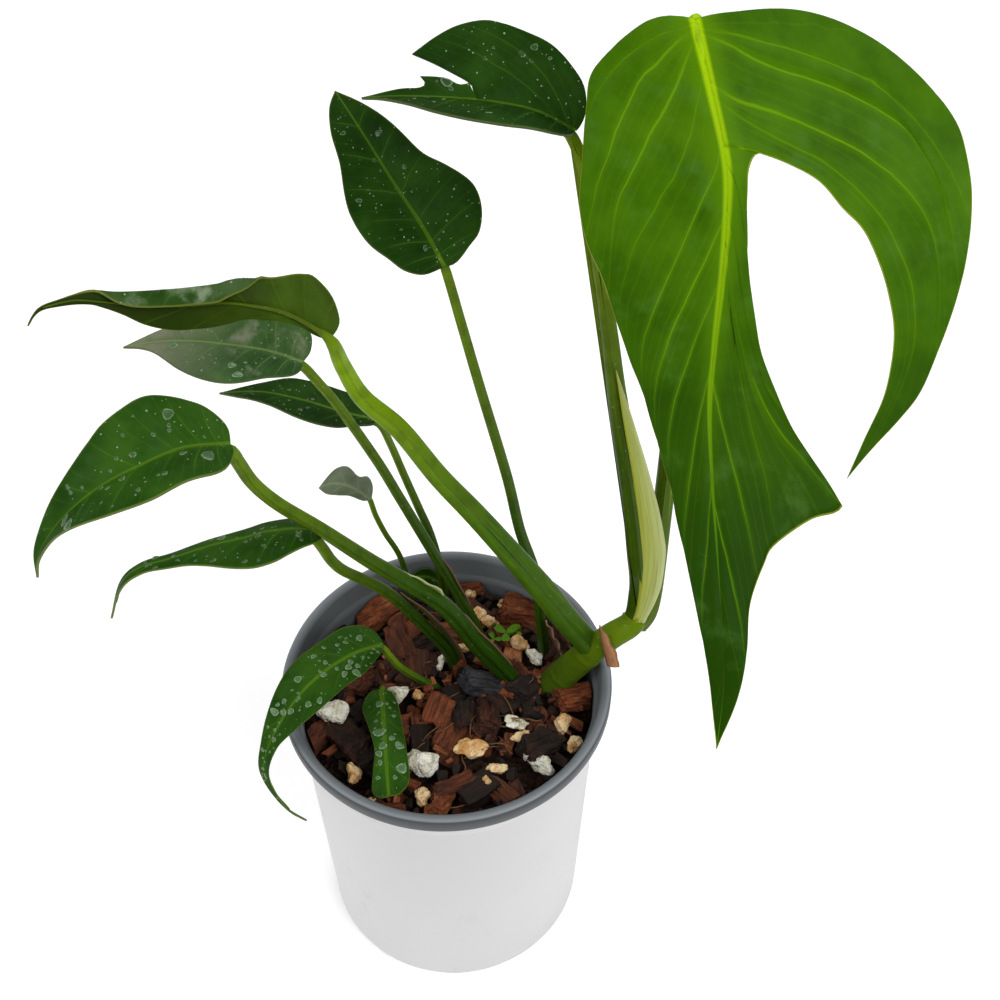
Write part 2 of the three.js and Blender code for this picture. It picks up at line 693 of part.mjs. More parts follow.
for (const [name, leaf] of Object.entries(LEAVES)) {
  let made = leafSolid(leaf).subtract(stemRoom);
  if (name === "leaf_split_small") made = made.subtract(largeRoom);
  place(name, made, LEAF_COLORS[name] ?? 0x24521f, 0.35);
  rooms.push(leafSolid(leaf, GAP));
}
place("stem", stem.subtract(rootRoom), 0x5f8a2c, 0.5);
place("aerial_root", root, 0x8a6a44, 0.7);
const clearSheath = rooms.reduce((made, room) => made.subtract(room), sheath.subtract(stemRoom));
place("dry_sheath", clearSheath, 0x8a4a26, 0.8);
place("clover_seedling", seedlingSolid(), 0x6fb32a, 0.5);
place("potting_mix", mixSolid([...rooms, stemRoom, rootRoom, shoot(SEEDLING, GAP, 6)]), 0x4a2c1e, 0.9);
place("pot", potSolid(), 0xf0f0ee, 0.35);

export default group;
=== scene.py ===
# Looks for a potted flame monstera: leaves, stem, a bark and pumice mix and a two-tone nursery pot.
import math
import random

import bmesh
import bpy
import numpy as np
from mathutils import Euler, Matrix, Vector, noise


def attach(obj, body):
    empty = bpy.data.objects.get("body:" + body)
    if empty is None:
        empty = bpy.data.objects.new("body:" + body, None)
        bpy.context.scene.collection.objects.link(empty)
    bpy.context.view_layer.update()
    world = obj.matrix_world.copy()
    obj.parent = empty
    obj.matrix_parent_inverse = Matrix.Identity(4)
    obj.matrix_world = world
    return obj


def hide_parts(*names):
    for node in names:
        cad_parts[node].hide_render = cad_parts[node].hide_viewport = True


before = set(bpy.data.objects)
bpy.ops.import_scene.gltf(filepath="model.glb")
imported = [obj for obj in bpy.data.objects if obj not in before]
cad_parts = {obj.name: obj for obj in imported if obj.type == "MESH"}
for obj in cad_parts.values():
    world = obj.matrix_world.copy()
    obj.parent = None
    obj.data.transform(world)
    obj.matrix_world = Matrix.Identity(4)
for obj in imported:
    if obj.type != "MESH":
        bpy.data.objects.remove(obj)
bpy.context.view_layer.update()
mm = 0.001


# Helpers for lines in space

# Points spread evenly on a smooth line through the given ones
def smoothLine(points, count):
    p = np.array(points, float)
    ends = np.vstack([2 * p[0] - p[1], p, 2 * p[-1] - p[-2]])
    fine = []
    for i in range(1, len(ends) - 2):
        a, b, c, d = ends[i - 1:i + 3]
        for u in np.linspace(0, 1, 16, endpoint=False):
            fine.append(0.5 * (2 * b + (c - a) * u + (2 * a - 5 * b + 4 * c - d) * u ** 2
                               + (3 * b - a - 3 * c + d) * u ** 3))
    fine = np.array(fine + [p[-1]])
    walked = lengths(fine)
    at = np.linspace(0, walked[-1], count)
    return np.column_stack([np.interp(at, walked, fine[:, k]) for k in range(p.shape[1])])


def lengths(line):
    return np.concatenate([[0], np.cumsum(np.linalg.norm(np.diff(line, axis=0), axis=1))])


# One line through several smooth ones that meet in corners, with a point on each corner
def corneredLine(curves, count):
    fine = [smoothLine(c, 80) for c in curves]
    sizes = [lengths(f)[-1] for f in fine]
    shares = [max(2, round(count * size / sum(sizes))) for size in sizes]
    shares[-1] += count - 1 - sum(shares)
    line = [smoothLine(curves[0], 80)[:1]]
    for curve, share in zip(curves, shares):
        line.append(smoothLine(curve, share + 1)[1:])
    return np.vstack(line)


# Two directions across a line, square to each other, that don't twist along it
def framesOf(line, facing):
    tangent = np.gradient(line, axis=0)
    tangent /= np.linalg.norm(tangent, axis=1)[:, None]
    side = np.zeros_like(line)
    last = np.array(facing, float)
    for i, t in enumerate(tangent):
        last = last - t * (last @ t)
        last /= np.linalg.norm(last)
        side[i] = last
    return side, np.cross(tangent, side)


def spread(values, u):
    return np.interp(u, np.linspace(0, 1, len(values)), values)


# Helpers for meshes and pieces

def putInScene(name, data):
    item = bpy.data.objects.new(name, data)
    bpy.context.scene.collection.objects.link(item)
    return item


def meshOf(name, bm):
    mesh = bpy.data.meshes.new(name)
    bm.to_mesh(mesh)
    bm.free()
    return mesh


def newPiece(name, bm, materials, nodes, smooth=True):
    mesh = meshOf(name, bm)
    for material in materials:
        mesh.materials.append(material)
    mesh.polygons.foreach_set("use_smooth", [smooth] * len(mesh.polygons))
    piece = putInScene(name, mesh)
    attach(piece, "root")
    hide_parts(*nodes)
    return piece


# Writes a UV layer from one value per vertex
def writeUvs(faces, layer, where):
    for face in faces:
        for loop in face.loops:
            loop[layer].uv = where[loop.vert]


# A grid's vertices as rows and columns, to be moved onto a shape
def gridOf(bm, rows, columns):
    made = bmesh.ops.create_grid(bm, x_segments=columns, y_segments=rows, size=1)["verts"]
    placed = {}
    for v in made:
        column = round((v.co.x + 1) / 2 * columns)
        row = round((v.co.y + 1) / 2 * rows)
        placed[row, column] = v
    return placed


# Helpers for materials

class Look:
    def __init__(self, name, **sockets):
        self.material = bpy.data.materials.new(name)
        self.material.use_nodes = True
        self.tree = self.material.node_tree
        self.shader = self.tree.nodes["Principled BSDF"]
        for socket, value in sockets.items():
            self.shader.inputs[socket.replace("_", " ")].default_value = value

    def add(self, kind, inputs=None, **settings):
        node = self.tree.nodes.new(kind)
        for key, value in settings.items():
            setattr(node, key, value)
        for key, value in (inputs or {}).items():
            self.feed(node.inputs[key], value)
        return node

    def feed(self, socket, value):
        if isinstance(value, bpy.types.NodeSocket):
            self.tree.links.new(value, socket)
        else:
            socket.default_value = value

    def math(self, operation, a, b=0.0, clamp=False):
        node = self.add("ShaderNodeMath", {0: a, 1: b}, operation=operation, use_clamp=clamp)
        return node.outputs[0]

    def times(self, a, b):
        return self.math("MULTIPLY", a, b)

    def plus(self, a, b, clamp=False):
        return self.math("ADD", a, b, clamp)

    def smoothStep(self, value, low, high, atLow, atHigh):
        node = self.add("ShaderNodeMapRange", {0: value, 1: low, 2: high, 3: atLow, 4: atHigh},
                        interpolation_type="SMOOTHSTEP")
        return node.outputs[0]

    # 1 where value is at or under low, 0 where it is at or over high
    def under(self, value, low, high):
        return self.smoothStep(value, low, high, 1.0, 0.0)

    # 0 where value is at or under low, 1 where it is at or over high
    def over(self, value, low, high):
        return self.smoothStep(value, low, high, 0.0, 1.0)

    def mix(self, factor, a, b):
        node = self.add("ShaderNodeMix", data_type="RGBA", blend_type="MIX", clamp_factor=True)
        self.feed(node.inputs[0], factor)
        self.feed(node.inputs[6], a)
        self.feed(node.inputs[7], b)
        return node.outputs[2]

    # A color laid over the base, as strongly as the mask times the share
    def layer(self, base, mask, share, color):
        return self.mix(self.times(mask, share), base, rgb(*color))

    def noise(self, vector, scale, detail, rough=0.5):
        node = self.add("ShaderNodeTexNoise", {"Vector": vector, "Scale": scale, "Detail": detail,
                                               "Roughness": rough})
        return node.outputs["Fac"]

    def cells(self, vector, scale):
        return self.add("ShaderNodeTexVoronoi", {"Vector": vector, "Scale": scale}).outputs

    def uv(self, name):
        return self.add("ShaderNodeUVMap", uv_map=name).outputs[0]

    def place(self):
        return self.add("ShaderNodeTexCoord").outputs["Object"]

    def moved(self, vector, scale=(1, 1, 1), location=(0, 0, 0)):
        node = self.add("ShaderNodeMapping", {"Vector": vector, "Scale": scale, "Location": location})
        return node.outputs[0]

    def split(self, vector):
        return self.add("ShaderNodeSeparateXYZ", {0: vector}).outputs

    def ramp(self, value, stops):
        node = self.add("ShaderNodeValToRGB", {0: value})
        elements = node.color_ramp.elements
        while len(elements) < len(stops):
            elements.new(0.5)
        for element, (position, color) in zip(elements, stops):
            element.position = position
            element.color = (*color, 1)
        return node.outputs[0]

    def bump(self, height, strength, distance):
        node = self.add("ShaderNodeBump", {"Height": height, "Strength": strength, "Distance": distance})
        return node.outputs[0]

    def finish(self, color, rough=None, normal=None):
        for key, value in (("Base Color", color), ("Roughness", rough), ("Normal", normal)):
            if value is not None:
                self.feed(self.shader.inputs[key], value)
        return self.material


def rgb(r, g, b):
    return (r, g, b, 1)


# Leaves, in millimetres: the petiole's way up and its radius, the blade's midrib and its rib, and two halves.
# A half lies flat, with points along the midrib and out from it. across is the way it leans. A whole half has
# one margin, and the leaf's veins say where its side veins start. A split half has parts from start to end of
# the midrib: first and last are the lines it lies between, and each vein is a line. merge says how soon the
# petiole thins out under the blade, and flip that its rib shows on the side that is seen.

leafShapes = {
    "leaf_split_large": {
        "petiole": [[72, 9, 168], [77, 13, 178], [79, 22, 215], [80, 30, 253], [80, 39, 303],
                    [80, 43, 349], [79, 41, 379], [76, 33, 393], [72, 24.5, 401]],
        "midrib": [[71, 25, 404], [76, 16, 389], [80, 4, 376], [80, -7, 368], [78, -23, 358],
                   [75, -41, 349], [73, -60, 339], [74, -97, 318], [75, -111, 304], [74, -121, 287]],
        "radius": [4.4, 3.6, 3.4, 2.8, 1.7], "rib": 1.1, "stalk": "bright", "look": "bright",
        "near": {"across": [0.98, -0.02, -0.21], "parts": [
            {"rows": 110, "columns": 70, "start": 0, "end": 33,
             "margin": [[[0, 0], [-2.2, 11], [-3.2, 25], [-3.8, 40], [-2.3, 50], [1.2, 58], [5.6, 64.4],
                        [11, 69], [17, 71], [28, 71], [40, 69], [57, 66], [73, 62], [89, 57], [99, 51],
                        [110, 42], [117.5, 36]]],
             "last": [[33, 0], [32.6, 5], [32.6, 10], [34, 18], [37, 26], [43, 32], [48, 38], [57, 43],
                      [65, 46], [74, 48], [84, 48], [95, 46], [107, 41], [117.5, 36]],
             "veins": [[[1.6, 0], [1.6, 12], [2.8, 30], [6, 45], [11, 54], [18, 60.5], [28, 65.5],
                       [40, 69]], [[2.5, 0], [4.5, 8], [8, 18.5], [9.5, 32], [12, 43], [17, 54], [27, 60],
                       [42, 63], [60, 65.4]], [[16, 0], [19.5, 7], [21, 20], [25, 35], [30, 45.5],
                       [38, 54], [50, 58.5], [66, 60], [80, 60]], [[19, 0], [24, 7], [28, 17], [32, 29],
                       [40, 39.5], [49, 46.5], [61, 52], [76, 54], [91, 51], [108, 44]]]},
            {"rows": 110, "columns": 26, "start": 33, "end": 192,
             "first": [[33, 0], [32.6, 5], [32.6, 10]],
             "margin": [[[32.6, 10], [34, 8], [38, 6], [43, 5.3], [52, 5.3], [67, 7], [79, 10], [89, 13],
                        [99, 18], [107, 22], [113, 26], [120, 31], [125, 34]], [[125, 34], [127, 32],
                        [130, 25], [138, 15], [143, 12], [154, 7.4], [166, 5.7], [178, 3.3], [192, 0]]],
             "veins": [[[37, 0], [44, 2.6], [54, 4.6], [62, 6.3]], [[50, 0], [62, 3], [78, 7], [94, 12.6],
                       [103, 19.6]], [[58, 0], [74, 3.4], [92, 9.4], [106, 17], [116, 26], [125, 34]],
                       [[66, 0], [74, 2.5], [86, 5.5], [96, 8], [109, 11], [120, 13.6], [131, 15],
                       [137, 16]], [[96, 0], [112, 4], [130, 7.6], [147, 10]], [[128, 0], [144, 2.4],
                       [160, 5], [168, 5.4]]]},
        ]},
        "far": {"across": [-0.97, 0.25, -0.05], "parts": [
            {"rows": 150, "columns": 44, "start": 0, "end": 192,
             "margin": [[[0, 0], [0, 5], [1, 12], [6, 20], [11, 26], [17, 32], [25, 35], [33, 37.5],
                        [42, 39], [54, 39], [64, 36], [73, 31], [84, 26], [95, 21], [106, 16], [127, 10.6],
                        [138, 9], [156, 6], [170, 4], [192, 0]]],
             "veins": [[[0.6, 0], [1.6, 3], [4.5, 10.6], [9, 18], [15, 25.6], [22, 31.6], [29, 36.4]],
                       [[1.6, 0], [6.5, 7], [12, 13], [15.5, 17.5], [21, 21.5], [32, 28.5], [45, 34],
                       [62, 36.7]], [[3, 0], [8.5, 3.5], [19, 10], [26, 15], [33, 20.5], [43.5, 26],
                       [55, 29.6], [78, 29]], [[11, 0], [16, 2], [26.5, 6.5], [41, 13.5], [52, 19],
                       [64, 23.6], [78, 25.4], [90, 23]], [[31, 0], [38, 2.5], [49.5, 7], [64.5, 12],
                       [83, 16.8], [94, 18], [106, 16]], [[50, 0], [57, 2.2], [68, 5.8], [80, 9.6],
                       [94, 13], [106, 14], [117, 13.2]], [[66, 0], [75, 1.8], [82, 3.6], [94, 6.4],
                       [108, 9.4], [118, 10.6], [130, 10]], [[92, 0], [108, 2.6], [124, 5.6], [138, 8],
                       [144, 8.2]], [[122, 0], [140, 2.4], [156, 4.6], [166, 4.6]]]},
        ]},
    },
    "leaf_split_small": {
        "petiole": [[67, 6, 168], [72, 9.5, 173], [73.5, 12, 182], [73, 13, 198], [67, 16, 237],
                    [60, 20, 271], [55, 24, 302], [50, 29, 329], [46, 33, 351], [42, 37, 363]],
        "midrib": [[42, 38, 364], [32, 41, 368], [22, 44, 369], [9, 47, 369], [-6, 50, 368],
                   [-20, 53, 366]],
        "radius": [4.4, 5.4, 4.4, 3, 2.2, 1.9], "rib": 0.8, "stalk": "sheathed", "look": "dark",
        "rows": 60, "veins": [1.5, 5, 12, 22, 34, 48],
        "near": {"across": [-0.06, -0.95, 0.25], "columns": 20,
            "margin": [[0, 0], [1, 6], [5, 12], [11, 17], [20, 20], [30, 19], [40, 15], [50, 8], [58, 3],
                       [65, 0]]},
        "far": {"across": [0.15, 0.81, 0.57], "parts": [
            {"rows": 44, "columns": 26, "start": 0, "end": 30,
             "margin": [[[0, 0], [-2, 5], [-2, 10], [0, 15], [5, 18.5], [11, 21], [18, 22.5], [26, 24.2],
                        [32, 24.5], [39, 22.6], [45, 19], [51.5, 13.2]]],
             "last": [[30, 0], [31.5, 2.5], [33, 5], [39, 7.9], [45, 10.6], [51.5, 13.2]],
             "veins": [[[0.5, 0], [2, 6], [6, 12], [13, 17.5], [22, 22], [28, 24.4]], [[1.5, 0], [6, 6],
                       [12, 11.6], [20, 16.6], [30, 21], [38, 23]], [[5, 0], [12, 4.4], [20, 8.6],
                       [29, 12.6], [38, 16.4], [46, 18.3]]]},
            {"rows": 30, "columns": 10, "start": 30, "end": 65,
             "first": [[30, 0], [31.5, 2.5], [33, 5]],
             "margin": [[[33, 5], [36, 4.3], [41, 6], [48, 6.4]], [[48, 6.4], [46, 4], [48, 2.6],
                        [54, 2.2], [65, 0]]],
             "veins": [[[34, 0], [40, 3], [44, 5], [48, 6.4]]]},
        ]},
    },
    "leaf_tall_middle": {
        "petiole": [[40, 21, 118], [37, 22, 153], [34, 24, 182], [28, 27, 204], [23, 31, 229],
                    [14, 36, 266], [8, 40, 291], [3, 42, 312]],
        "midrib": [[3, 42, 313], [-4, 52, 321], [-14, 66, 329], [-24, 80, 338], [-33, 93, 345]],
        "radius": [2.4, 2, 1.6], "rib": 0.7, "look": "dark",
        "rows": 64, "veins": [1.5, 4, 9, 17, 28, 41, 55],
        "near": {"across": [-0.83, -0.52, -0.2], "columns": 22,
            "margin": [[0, 0], [1, 7], [5, 12], [11, 15], [19, 18], [29, 18], [37, 16], [47, 12], [58, 9],
                       [66, 5], [71, 0]]},
        "far": {"across": [0.83, 0.24, 0.51], "columns": 22,
            "margin": [[0, 0], [-1, 4], [1, 10], [3, 15], [8, 19], [15, 21], [21, 20], [28, 17], [36, 13],
                       [49, 10], [60, 6], [71, 0]]},
    },
    "leaf_long_left": {
        "petiole": [[58, 5, 156], [54, 6, 163], [45, 7, 177], [36, 8, 193], [14, 10, 228], [0, 11, 249],
                    [-12, 12, 270], [-23, 12, 284], [-28, 11, 298], [-31, 10, 309]],
        "midrib": [[-31, 10, 310], [-36, 11, 314], [-42, 11, 319], [-50, 10, 322], [-57, 9, 325],
                   [-67, 8, 325], [-77, 6, 326], [-89, 3, 329], [-98, 0, 333], [-105, -3, 334],
                   [-110, -5, 333], [-114, -7, 328]],
        "radius": [5, 5, 4.3, 3.7, 3.3, 2.4], "rib": 0.45, "merge": 14, "flip": True,
        "stalk": "thick", "look": "olive",
        "rows": 80, "veins": [3, 8, 16, 28, 43, 62],
        "fold": {"line": [[-10, 40], [20.5, 40], [21.5, 8.2], [24, 7], [35, 4], [51, 3.2], [66, 1.8],
                          [80, 1], [93, 0]],
                 "turn": 158, "radius": 1.2},
        "near": {"across": [0.09, -0.29, -0.95], "columns": 12,
            "margin": [[0, 0], [5, 2], [13, 3], [25, 4], [33, 6.4], [40, 7.4], [50, 7.5], [58, 6], [64, 3],
                       [70, 1.6], [80, 1], [93, 0]]},
        "far": {"across": [-0.11, 0.6, 0.79], "columns": 18,
            "margin": [[0, 0], [-4, 6], [-5, 10], [-3, 15], [3, 17], [8, 15], [15, 11], [20, 9.6],
                       [24, 10.4], [29, 12], [35, 12], [43, 11.4], [51, 10.8], [60, 9.4], [66, 7], [72, 3],
                       [80, 1], [93, 0]]},
    },
    "leaf_pale_left": {
        "petiole": [[16, 28, 118], [10, 30, 144], [3, 33, 161], [-7, 36, 185], [-17, 38, 210],
                    [-24, 39, 228], [-35, 38, 255], [-41, 36, 269], [-45, 34, 279]],
        "midrib": [[-45, 34, 280], [-56, 36, 283], [-69, 38, 284], [-83, 40, 284], [-96, 43, 281],
                   [-108, 45, 277]],
        "radius": [2.4, 2, 1.7], "rib": 0.6, "look": "sheen",
        "rows": 60, "veins": [1.5, 4, 9, 17, 28, 41, 53],
        "near": {"across": [-0.08, -1, -0.05], "columns": 20,
            "margin": [[0, 0], [0, 4], [3, 8], [10, 12], [20, 17], [30, 17], [40, 13], [50, 6], [57, 2.5],
                       [65, 0]]},
        "far": {"across": [0.1, 0.92, 0.39], "columns": 18,
            "margin": [[0, 0], [-2, 5], [-1, 11], [5, 15], [15, 15], [25, 13], [37, 9], [49, 5], [58, 2],
                       [65, 0]]},
    },
    "leaf_narrow_back": {
        "petiole": [[-2, 52, 118], [-4, 50, 153], [-7, 49, 176], [-11, 49, 192], [-16, 50, 210],
                    [-20, 50, 226], [-23, 48, 239]],
        "midrib": [[-23, 48, 240], [-36, 51, 241], [-50, 55, 243], [-67, 60, 243], [-85, 66, 237]],
        "radius": [2, 1.7, 1.4], "rib": 0.6, "look": "dark",
        "rows": 60, "veins": [2, 6, 12, 22, 35, 49],
        "near": {"across": [-0.14, -0.96, 0.22], "columns": 14,
            "margin": [[0, 0], [2, 4], [8, 7], [15, 11], [26, 12], [40, 8], [55, 4], [65, 0]]},
        "far": {"across": [0.16, 0.98, -0.14], "columns": 14,
            "margin": [[0, 0], [-2, 5], [1, 10], [8, 12], [18, 12], [30, 12], [38, 11], [47, 6], [58, 2],
                       [65, 0]]},
    },
    "leaf_wide_left": {
        "petiole": [[30, 9, 118], [24, 9, 136], [11, 9, 159], [0, 6, 185], [-14, 2, 205], [-25, -2, 221],
                    [-39, -8, 244], [-49, -12, 259], [-54, -14, 268], [-57, -15, 275], [-59, -16, 283],
                    [-60, -17, 291]],
        "midrib": [[-60, -17, 292], [-72, -24, 297], [-83, -31, 297], [-95, -36, 293], [-107, -40, 284],
                   [-116, -43, 272], [-119, -45, 262]],
        "radius": [4.2, 3.8, 3, 2.4, 2.2], "rib": 0.8, "stalk": "deep", "look": "wet",
        "rows": 76, "veins": [1.5, 4, 9, 17, 29, 44, 61],
        "near": {"across": [0.35, -0.92, 0.19], "columns": 22,
            "margin": [[0, 0], [0, 5], [3, 12], [8, 16], [16, 17], [28, 18], [41, 15], [55, 8], [64, 4],
                       [74, 2], [82, 0]]},
        "far": {"across": [-0.53, 0.77, 0.36], "columns": 24,
            "margin": [[0, 0], [-2, 7], [1, 14], [6, 17], [12, 19], [18, 20], [25, 19], [32, 17], [38, 14],
                       [45, 11], [54, 8], [64, 5], [74, 2.4], [82, 0]]},
    },
    "leaf_low_left": {
        "petiole": [[6, 16, 118], [0, 16, 143], [-9, 14, 163], [-17, 11, 181], [-23, 8, 193],
                    [-29, 5, 202], [-35, 1, 212], [-38, -2, 221], [-40, -4, 230], [-41, -6, 239]],
        "midrib": [[-41, -6, 240], [-45, -8, 244], [-55, -11, 246], [-63, -12, 244], [-75, -14, 242],
                   [-88, -16, 238], [-98, -18, 236], [-105, -21, 231], [-111, -24, 216]],
        "radius": [2.8, 2.3, 1.9], "rib": 0.6, "stalk": "deep", "look": "wet",
        "rows": 76, "veins": [2, 6, 13, 24, 38, 56],
        "near": {"across": [0.18, -0.97, 0.14], "columns": 18,
            "margin": [[0, 0], [-2, 3], [2, 7], [10, 12], [16, 15.6], [22, 16], [30, 13.5], [39, 9],
                       [47, 5.5], [56, 4], [64, 3.5], [72, 3], [80, 1.5], [87, 0]]},
        "far": {"across": [-0.2, 0.9, -0.4], "columns": 12,
            "margin": [[0, 0], [-4, 5], [2, 8], [10, 8], [17, 7], [25, 6], [34, 5], [52, 4], [68, 2.5],
                       [87, 0]]},
    },
    "leaf_young_grey": {
        "petiole": [[-14, 49, 118], [-17, 49, 142], [-20, 49, 163], [-25, 49, 177], [-28, 48, 189],
                    [-29, 47, 198]],
        "midrib": [[-29, 47, 199], [-36, 48, 205], [-43, 50, 205], [-50, 53, 199]],
        "radius": [1.3, 1.1], "rib": 0.3, "look": "grey",
        "rows": 36, "veins": [2, 6, 12, 18],
        "near": {"across": [-0.25, -0.71, -0.66], "columns": 10,
            "margin": [[0, 0], [4, 2.5], [9, 3.4], [14, 4.6], [19, 4], [26, 0]]},
        "far": {"across": [0.25, 0.71, 0.66], "columns": 12,
            "margin": [[0, 0], [1, 5], [4, 7], [8, 5], [13, 7], [18, 5.5], [26, 0]]},
    },
    "leaf_over_rim": {
        "petiole": [[-1, 9, 118], [-5, 7, 131], [-12, 6, 139], [-19, 6, 147], [-23, 8, 152],
                    [-25, 10, 155]],
        "midrib": [[-25, 10, 156], [-36, -1, 164], [-48, -15, 168], [-57, -27, 165], [-64, -35, 155],
                   [-67, -39, 141], [-61, -44, 127], [-53, -45, 117]],
        "radius": [1.8, 1.5], "rib": 0.5, "look": "wet",
        "rows": 90, "veins": [3, 9, 19, 33, 52, 76],
        "near": {"across": [0.78, -0.57, -0.25], "columns": 14,
            "margin": [[0, 0], [2, 2], [8, 5], [19, 9], [29, 9.6], [42, 9.5], [53, 7], [65, 3.5],
                       [74, 2.7], [85, 2.2], [97, 1.5], [110, 0]]},
        "far": {"across": [-0.78, 0.57, 0.25], "columns": 16,
            "margin": [[0, 0], [-3, 7], [0, 12], [8, 13], [21, 11], [33, 10.5], [41, 9.7], [49, 8.2],
                       [59, 5.5], [70, 3], [80, 2.2], [92, 1.6], [110, 0]]},
    },
    "leaf_on_mix": {
        "petiole": [[-27, 11, 120], [-27, 7, 130], [-26, 3, 136], [-26, 0, 139]],
        "midrib": [[-26, 0, 140], [-24, -16, 144], [-22, -33, 147], [-20, -50, 143]],
        "radius": [1.4, 1.2], "rib": 0.3, "look": "wet",
        "rows": 46, "veins": [3, 8, 15, 25, 37],
        "near": {"across": [0.95, 0.1, -0.2], "columns": 12,
            "margin": [[0, 0], [2, 4], [9, 6], [21, 7], [34, 8], [45, 8], [50, 4], [51, 0]]},
        "far": {"across": [-0.95, -0.1, -0.2], "columns": 12,
            "margin": [[0, 0], [1, 5], [9, 8], [20, 6], [32, 4], [40, 5], [48, 6], [51, 3], [51, 0]]},
    },
    "leaf_back_small": {
        "petiole": [[0, 55, 120], [-2, 56, 130], [-3, 56, 134], [-5, 56, 137]],
        "midrib": [[-5, 56, 138], [-10, 56, 142], [-15, 55, 143], [-20, 53, 141]],
        "radius": [1, 0.9], "rib": 0.2, "look": "dark",
        "rows": 20, "veins": [3, 8],
        "near": {"across": [-0.25, -0.71, -0.3], "columns": 7,
            "margin": [[0, 0], [3, 3], [8, 4], [12, 3], [17, 0]]},
        "far": {"across": [0.25, 0.3, 0.8], "columns": 7,
            "margin": [[0, 0], [3, 3.4], [8, 4], [12, 3], [17, 0]]},
    },
}

bladeThickness = 0.75
quilting = 0.45  # how far the blade swells between side veins
marginWave = 0.3  # how far the margin rises and falls
grooveWidth = 1.4  # half the width of the groove over the midrib
veinLean = 0.6  # how far side veins lean towards the tip, from 1 for not at all to 0
seamRows = 8  # rows over which a part comes to lie flat beside its neighbour


# The parts of a half. A whole half is a single part that reaches from the blade's base to its tip.
def partsOf(shape, key):
    half = shape[key]
    if "parts" in half:
        return half["parts"]
    return [{"rows": shape["rows"], "columns": half["columns"], "start": 0, "end": half["margin"][-1][0],
             "margin": [half["margin"]], "veins": shape["veins"]}]


# Flat points of one part of a half. Its rows run from the midrib to the margin and follow the side veins.
def partPoints(part):
    columns, start, end = part["columns"], part["start"], part["end"]
    outer = corneredLine(part["margin"], 600)
    walked = lengths(outer) / lengths(outer)[-1]
    v = np.linspace(0, 1, columns + 1)[:, None]

    def onMargin(share):
        return np.array([np.interp(share, walked, outer[:, k]) for k in range(2)])

    def straight(a, b, bow=0.0):
        line = (1 - v) * a + v * b
        line[:, 0] += bow * np.linalg.norm(b - a) * 4 * (v * (1 - v))[:, 0]
        return line

    def outerLine(key, at, corner):
        return smoothLine(part[key], columns + 1) if key in part else straight(np.array([at, 0.0]), corner)

    curves = [(start, 0.0, outerLine("first", start, outer[0]))]
    for vein in part["veins"]:
        if isinstance(vein, list):
            share = walked[np.argmin(np.linalg.norm(outer - np.array(vein[-1]), axis=1))]
            curves.append((vein[0][0], share, smoothLine(vein, columns + 1)))
        else:
            share = ((vein - start) / (end - start)) ** veinLean
            curves.append((vein, share, straight(np.array([vein, 0.0]), onMargin(share), 0.05)))
    curves.append((end, 1.0, outerLine("last", end, outer[-1])))
    flat, numbers, gaps = [], [], []
    for i, ((s0, m0, a), (s1, m1, b)) in enumerate(zip(curves, curves[1:])):
        steps = max(2, round(part["rows"] * (m1 - m0)))
        apart = np.linalg.norm(b - a, axis=1)
        for step in range(steps + (i == len(curves) - 2)):
            f = step / steps
            line = (1 - f) * a + f * b
            inner = np.array([(1 - f) * s0 + f * s1, 0.0])
            edge = onMargin((1 - f) * m0 + f * m1)
            flat.append(line + (1 - v) * (inner - line[0]) + v * (edge - line[-1]))
            numbers.append(i + f)
            gaps.append(apart)
    return np.array(flat), numbers, gaps


# Bends flat points along the midrib, with the margin's fold where the leaf has one
class BladeForm:
    def __init__(self, shape):
        self.shape = shape
        self.midrib = smoothLine(shape["midrib"], 400)
        self.walked = lengths(self.midrib)
        self.tangents = np.gradient(self.midrib, axis=0)
        self.sides = {}
        for key in ("near", "far"):
            across = np.array(shape[key]["across"], float)
            self.sides[key] = across / np.linalg.norm(across)

    def along(self, values, u):
        return np.array([np.interp(u, self.walked, values[:, k]) for k in range(3)])

    def place(self, key, s, w, swell=0.0):
        u = min(max(s, 0), self.walked[-1])
        tangent = self.along(self.tangents, u)
        tangent /= np.linalg.norm(tangent)
        across = self.sides[key]
        normal = np.cross(tangent, across if key == "near" else -across)
        normal /= np.linalg.norm(normal)
        groove = -0.3 * self.shape["rib"] * math.exp(-(w / grooveWidth) ** 2)
        out, rise = w, swell + groove
        fold = self.shape.get("fold")
        if fold and key == "far":
            crest = np.interp(s, *zip(*fold["line"]))
            if w > crest:
                turn = min((w - crest) / fold["radius"], math.radians(fold["turn"]))
                rest = w - crest - turn * fold["radius"]
                out = crest + fold["radius"] * math.sin(turn) + rest * math.cos(turn)
                rise = fold["radius"] * (1 - math.cos(turn)) + rest * math.sin(turn)
        return self.along(self.midrib, u) + tangent * (s - u) + across * out + normal * rise, normal, tangent


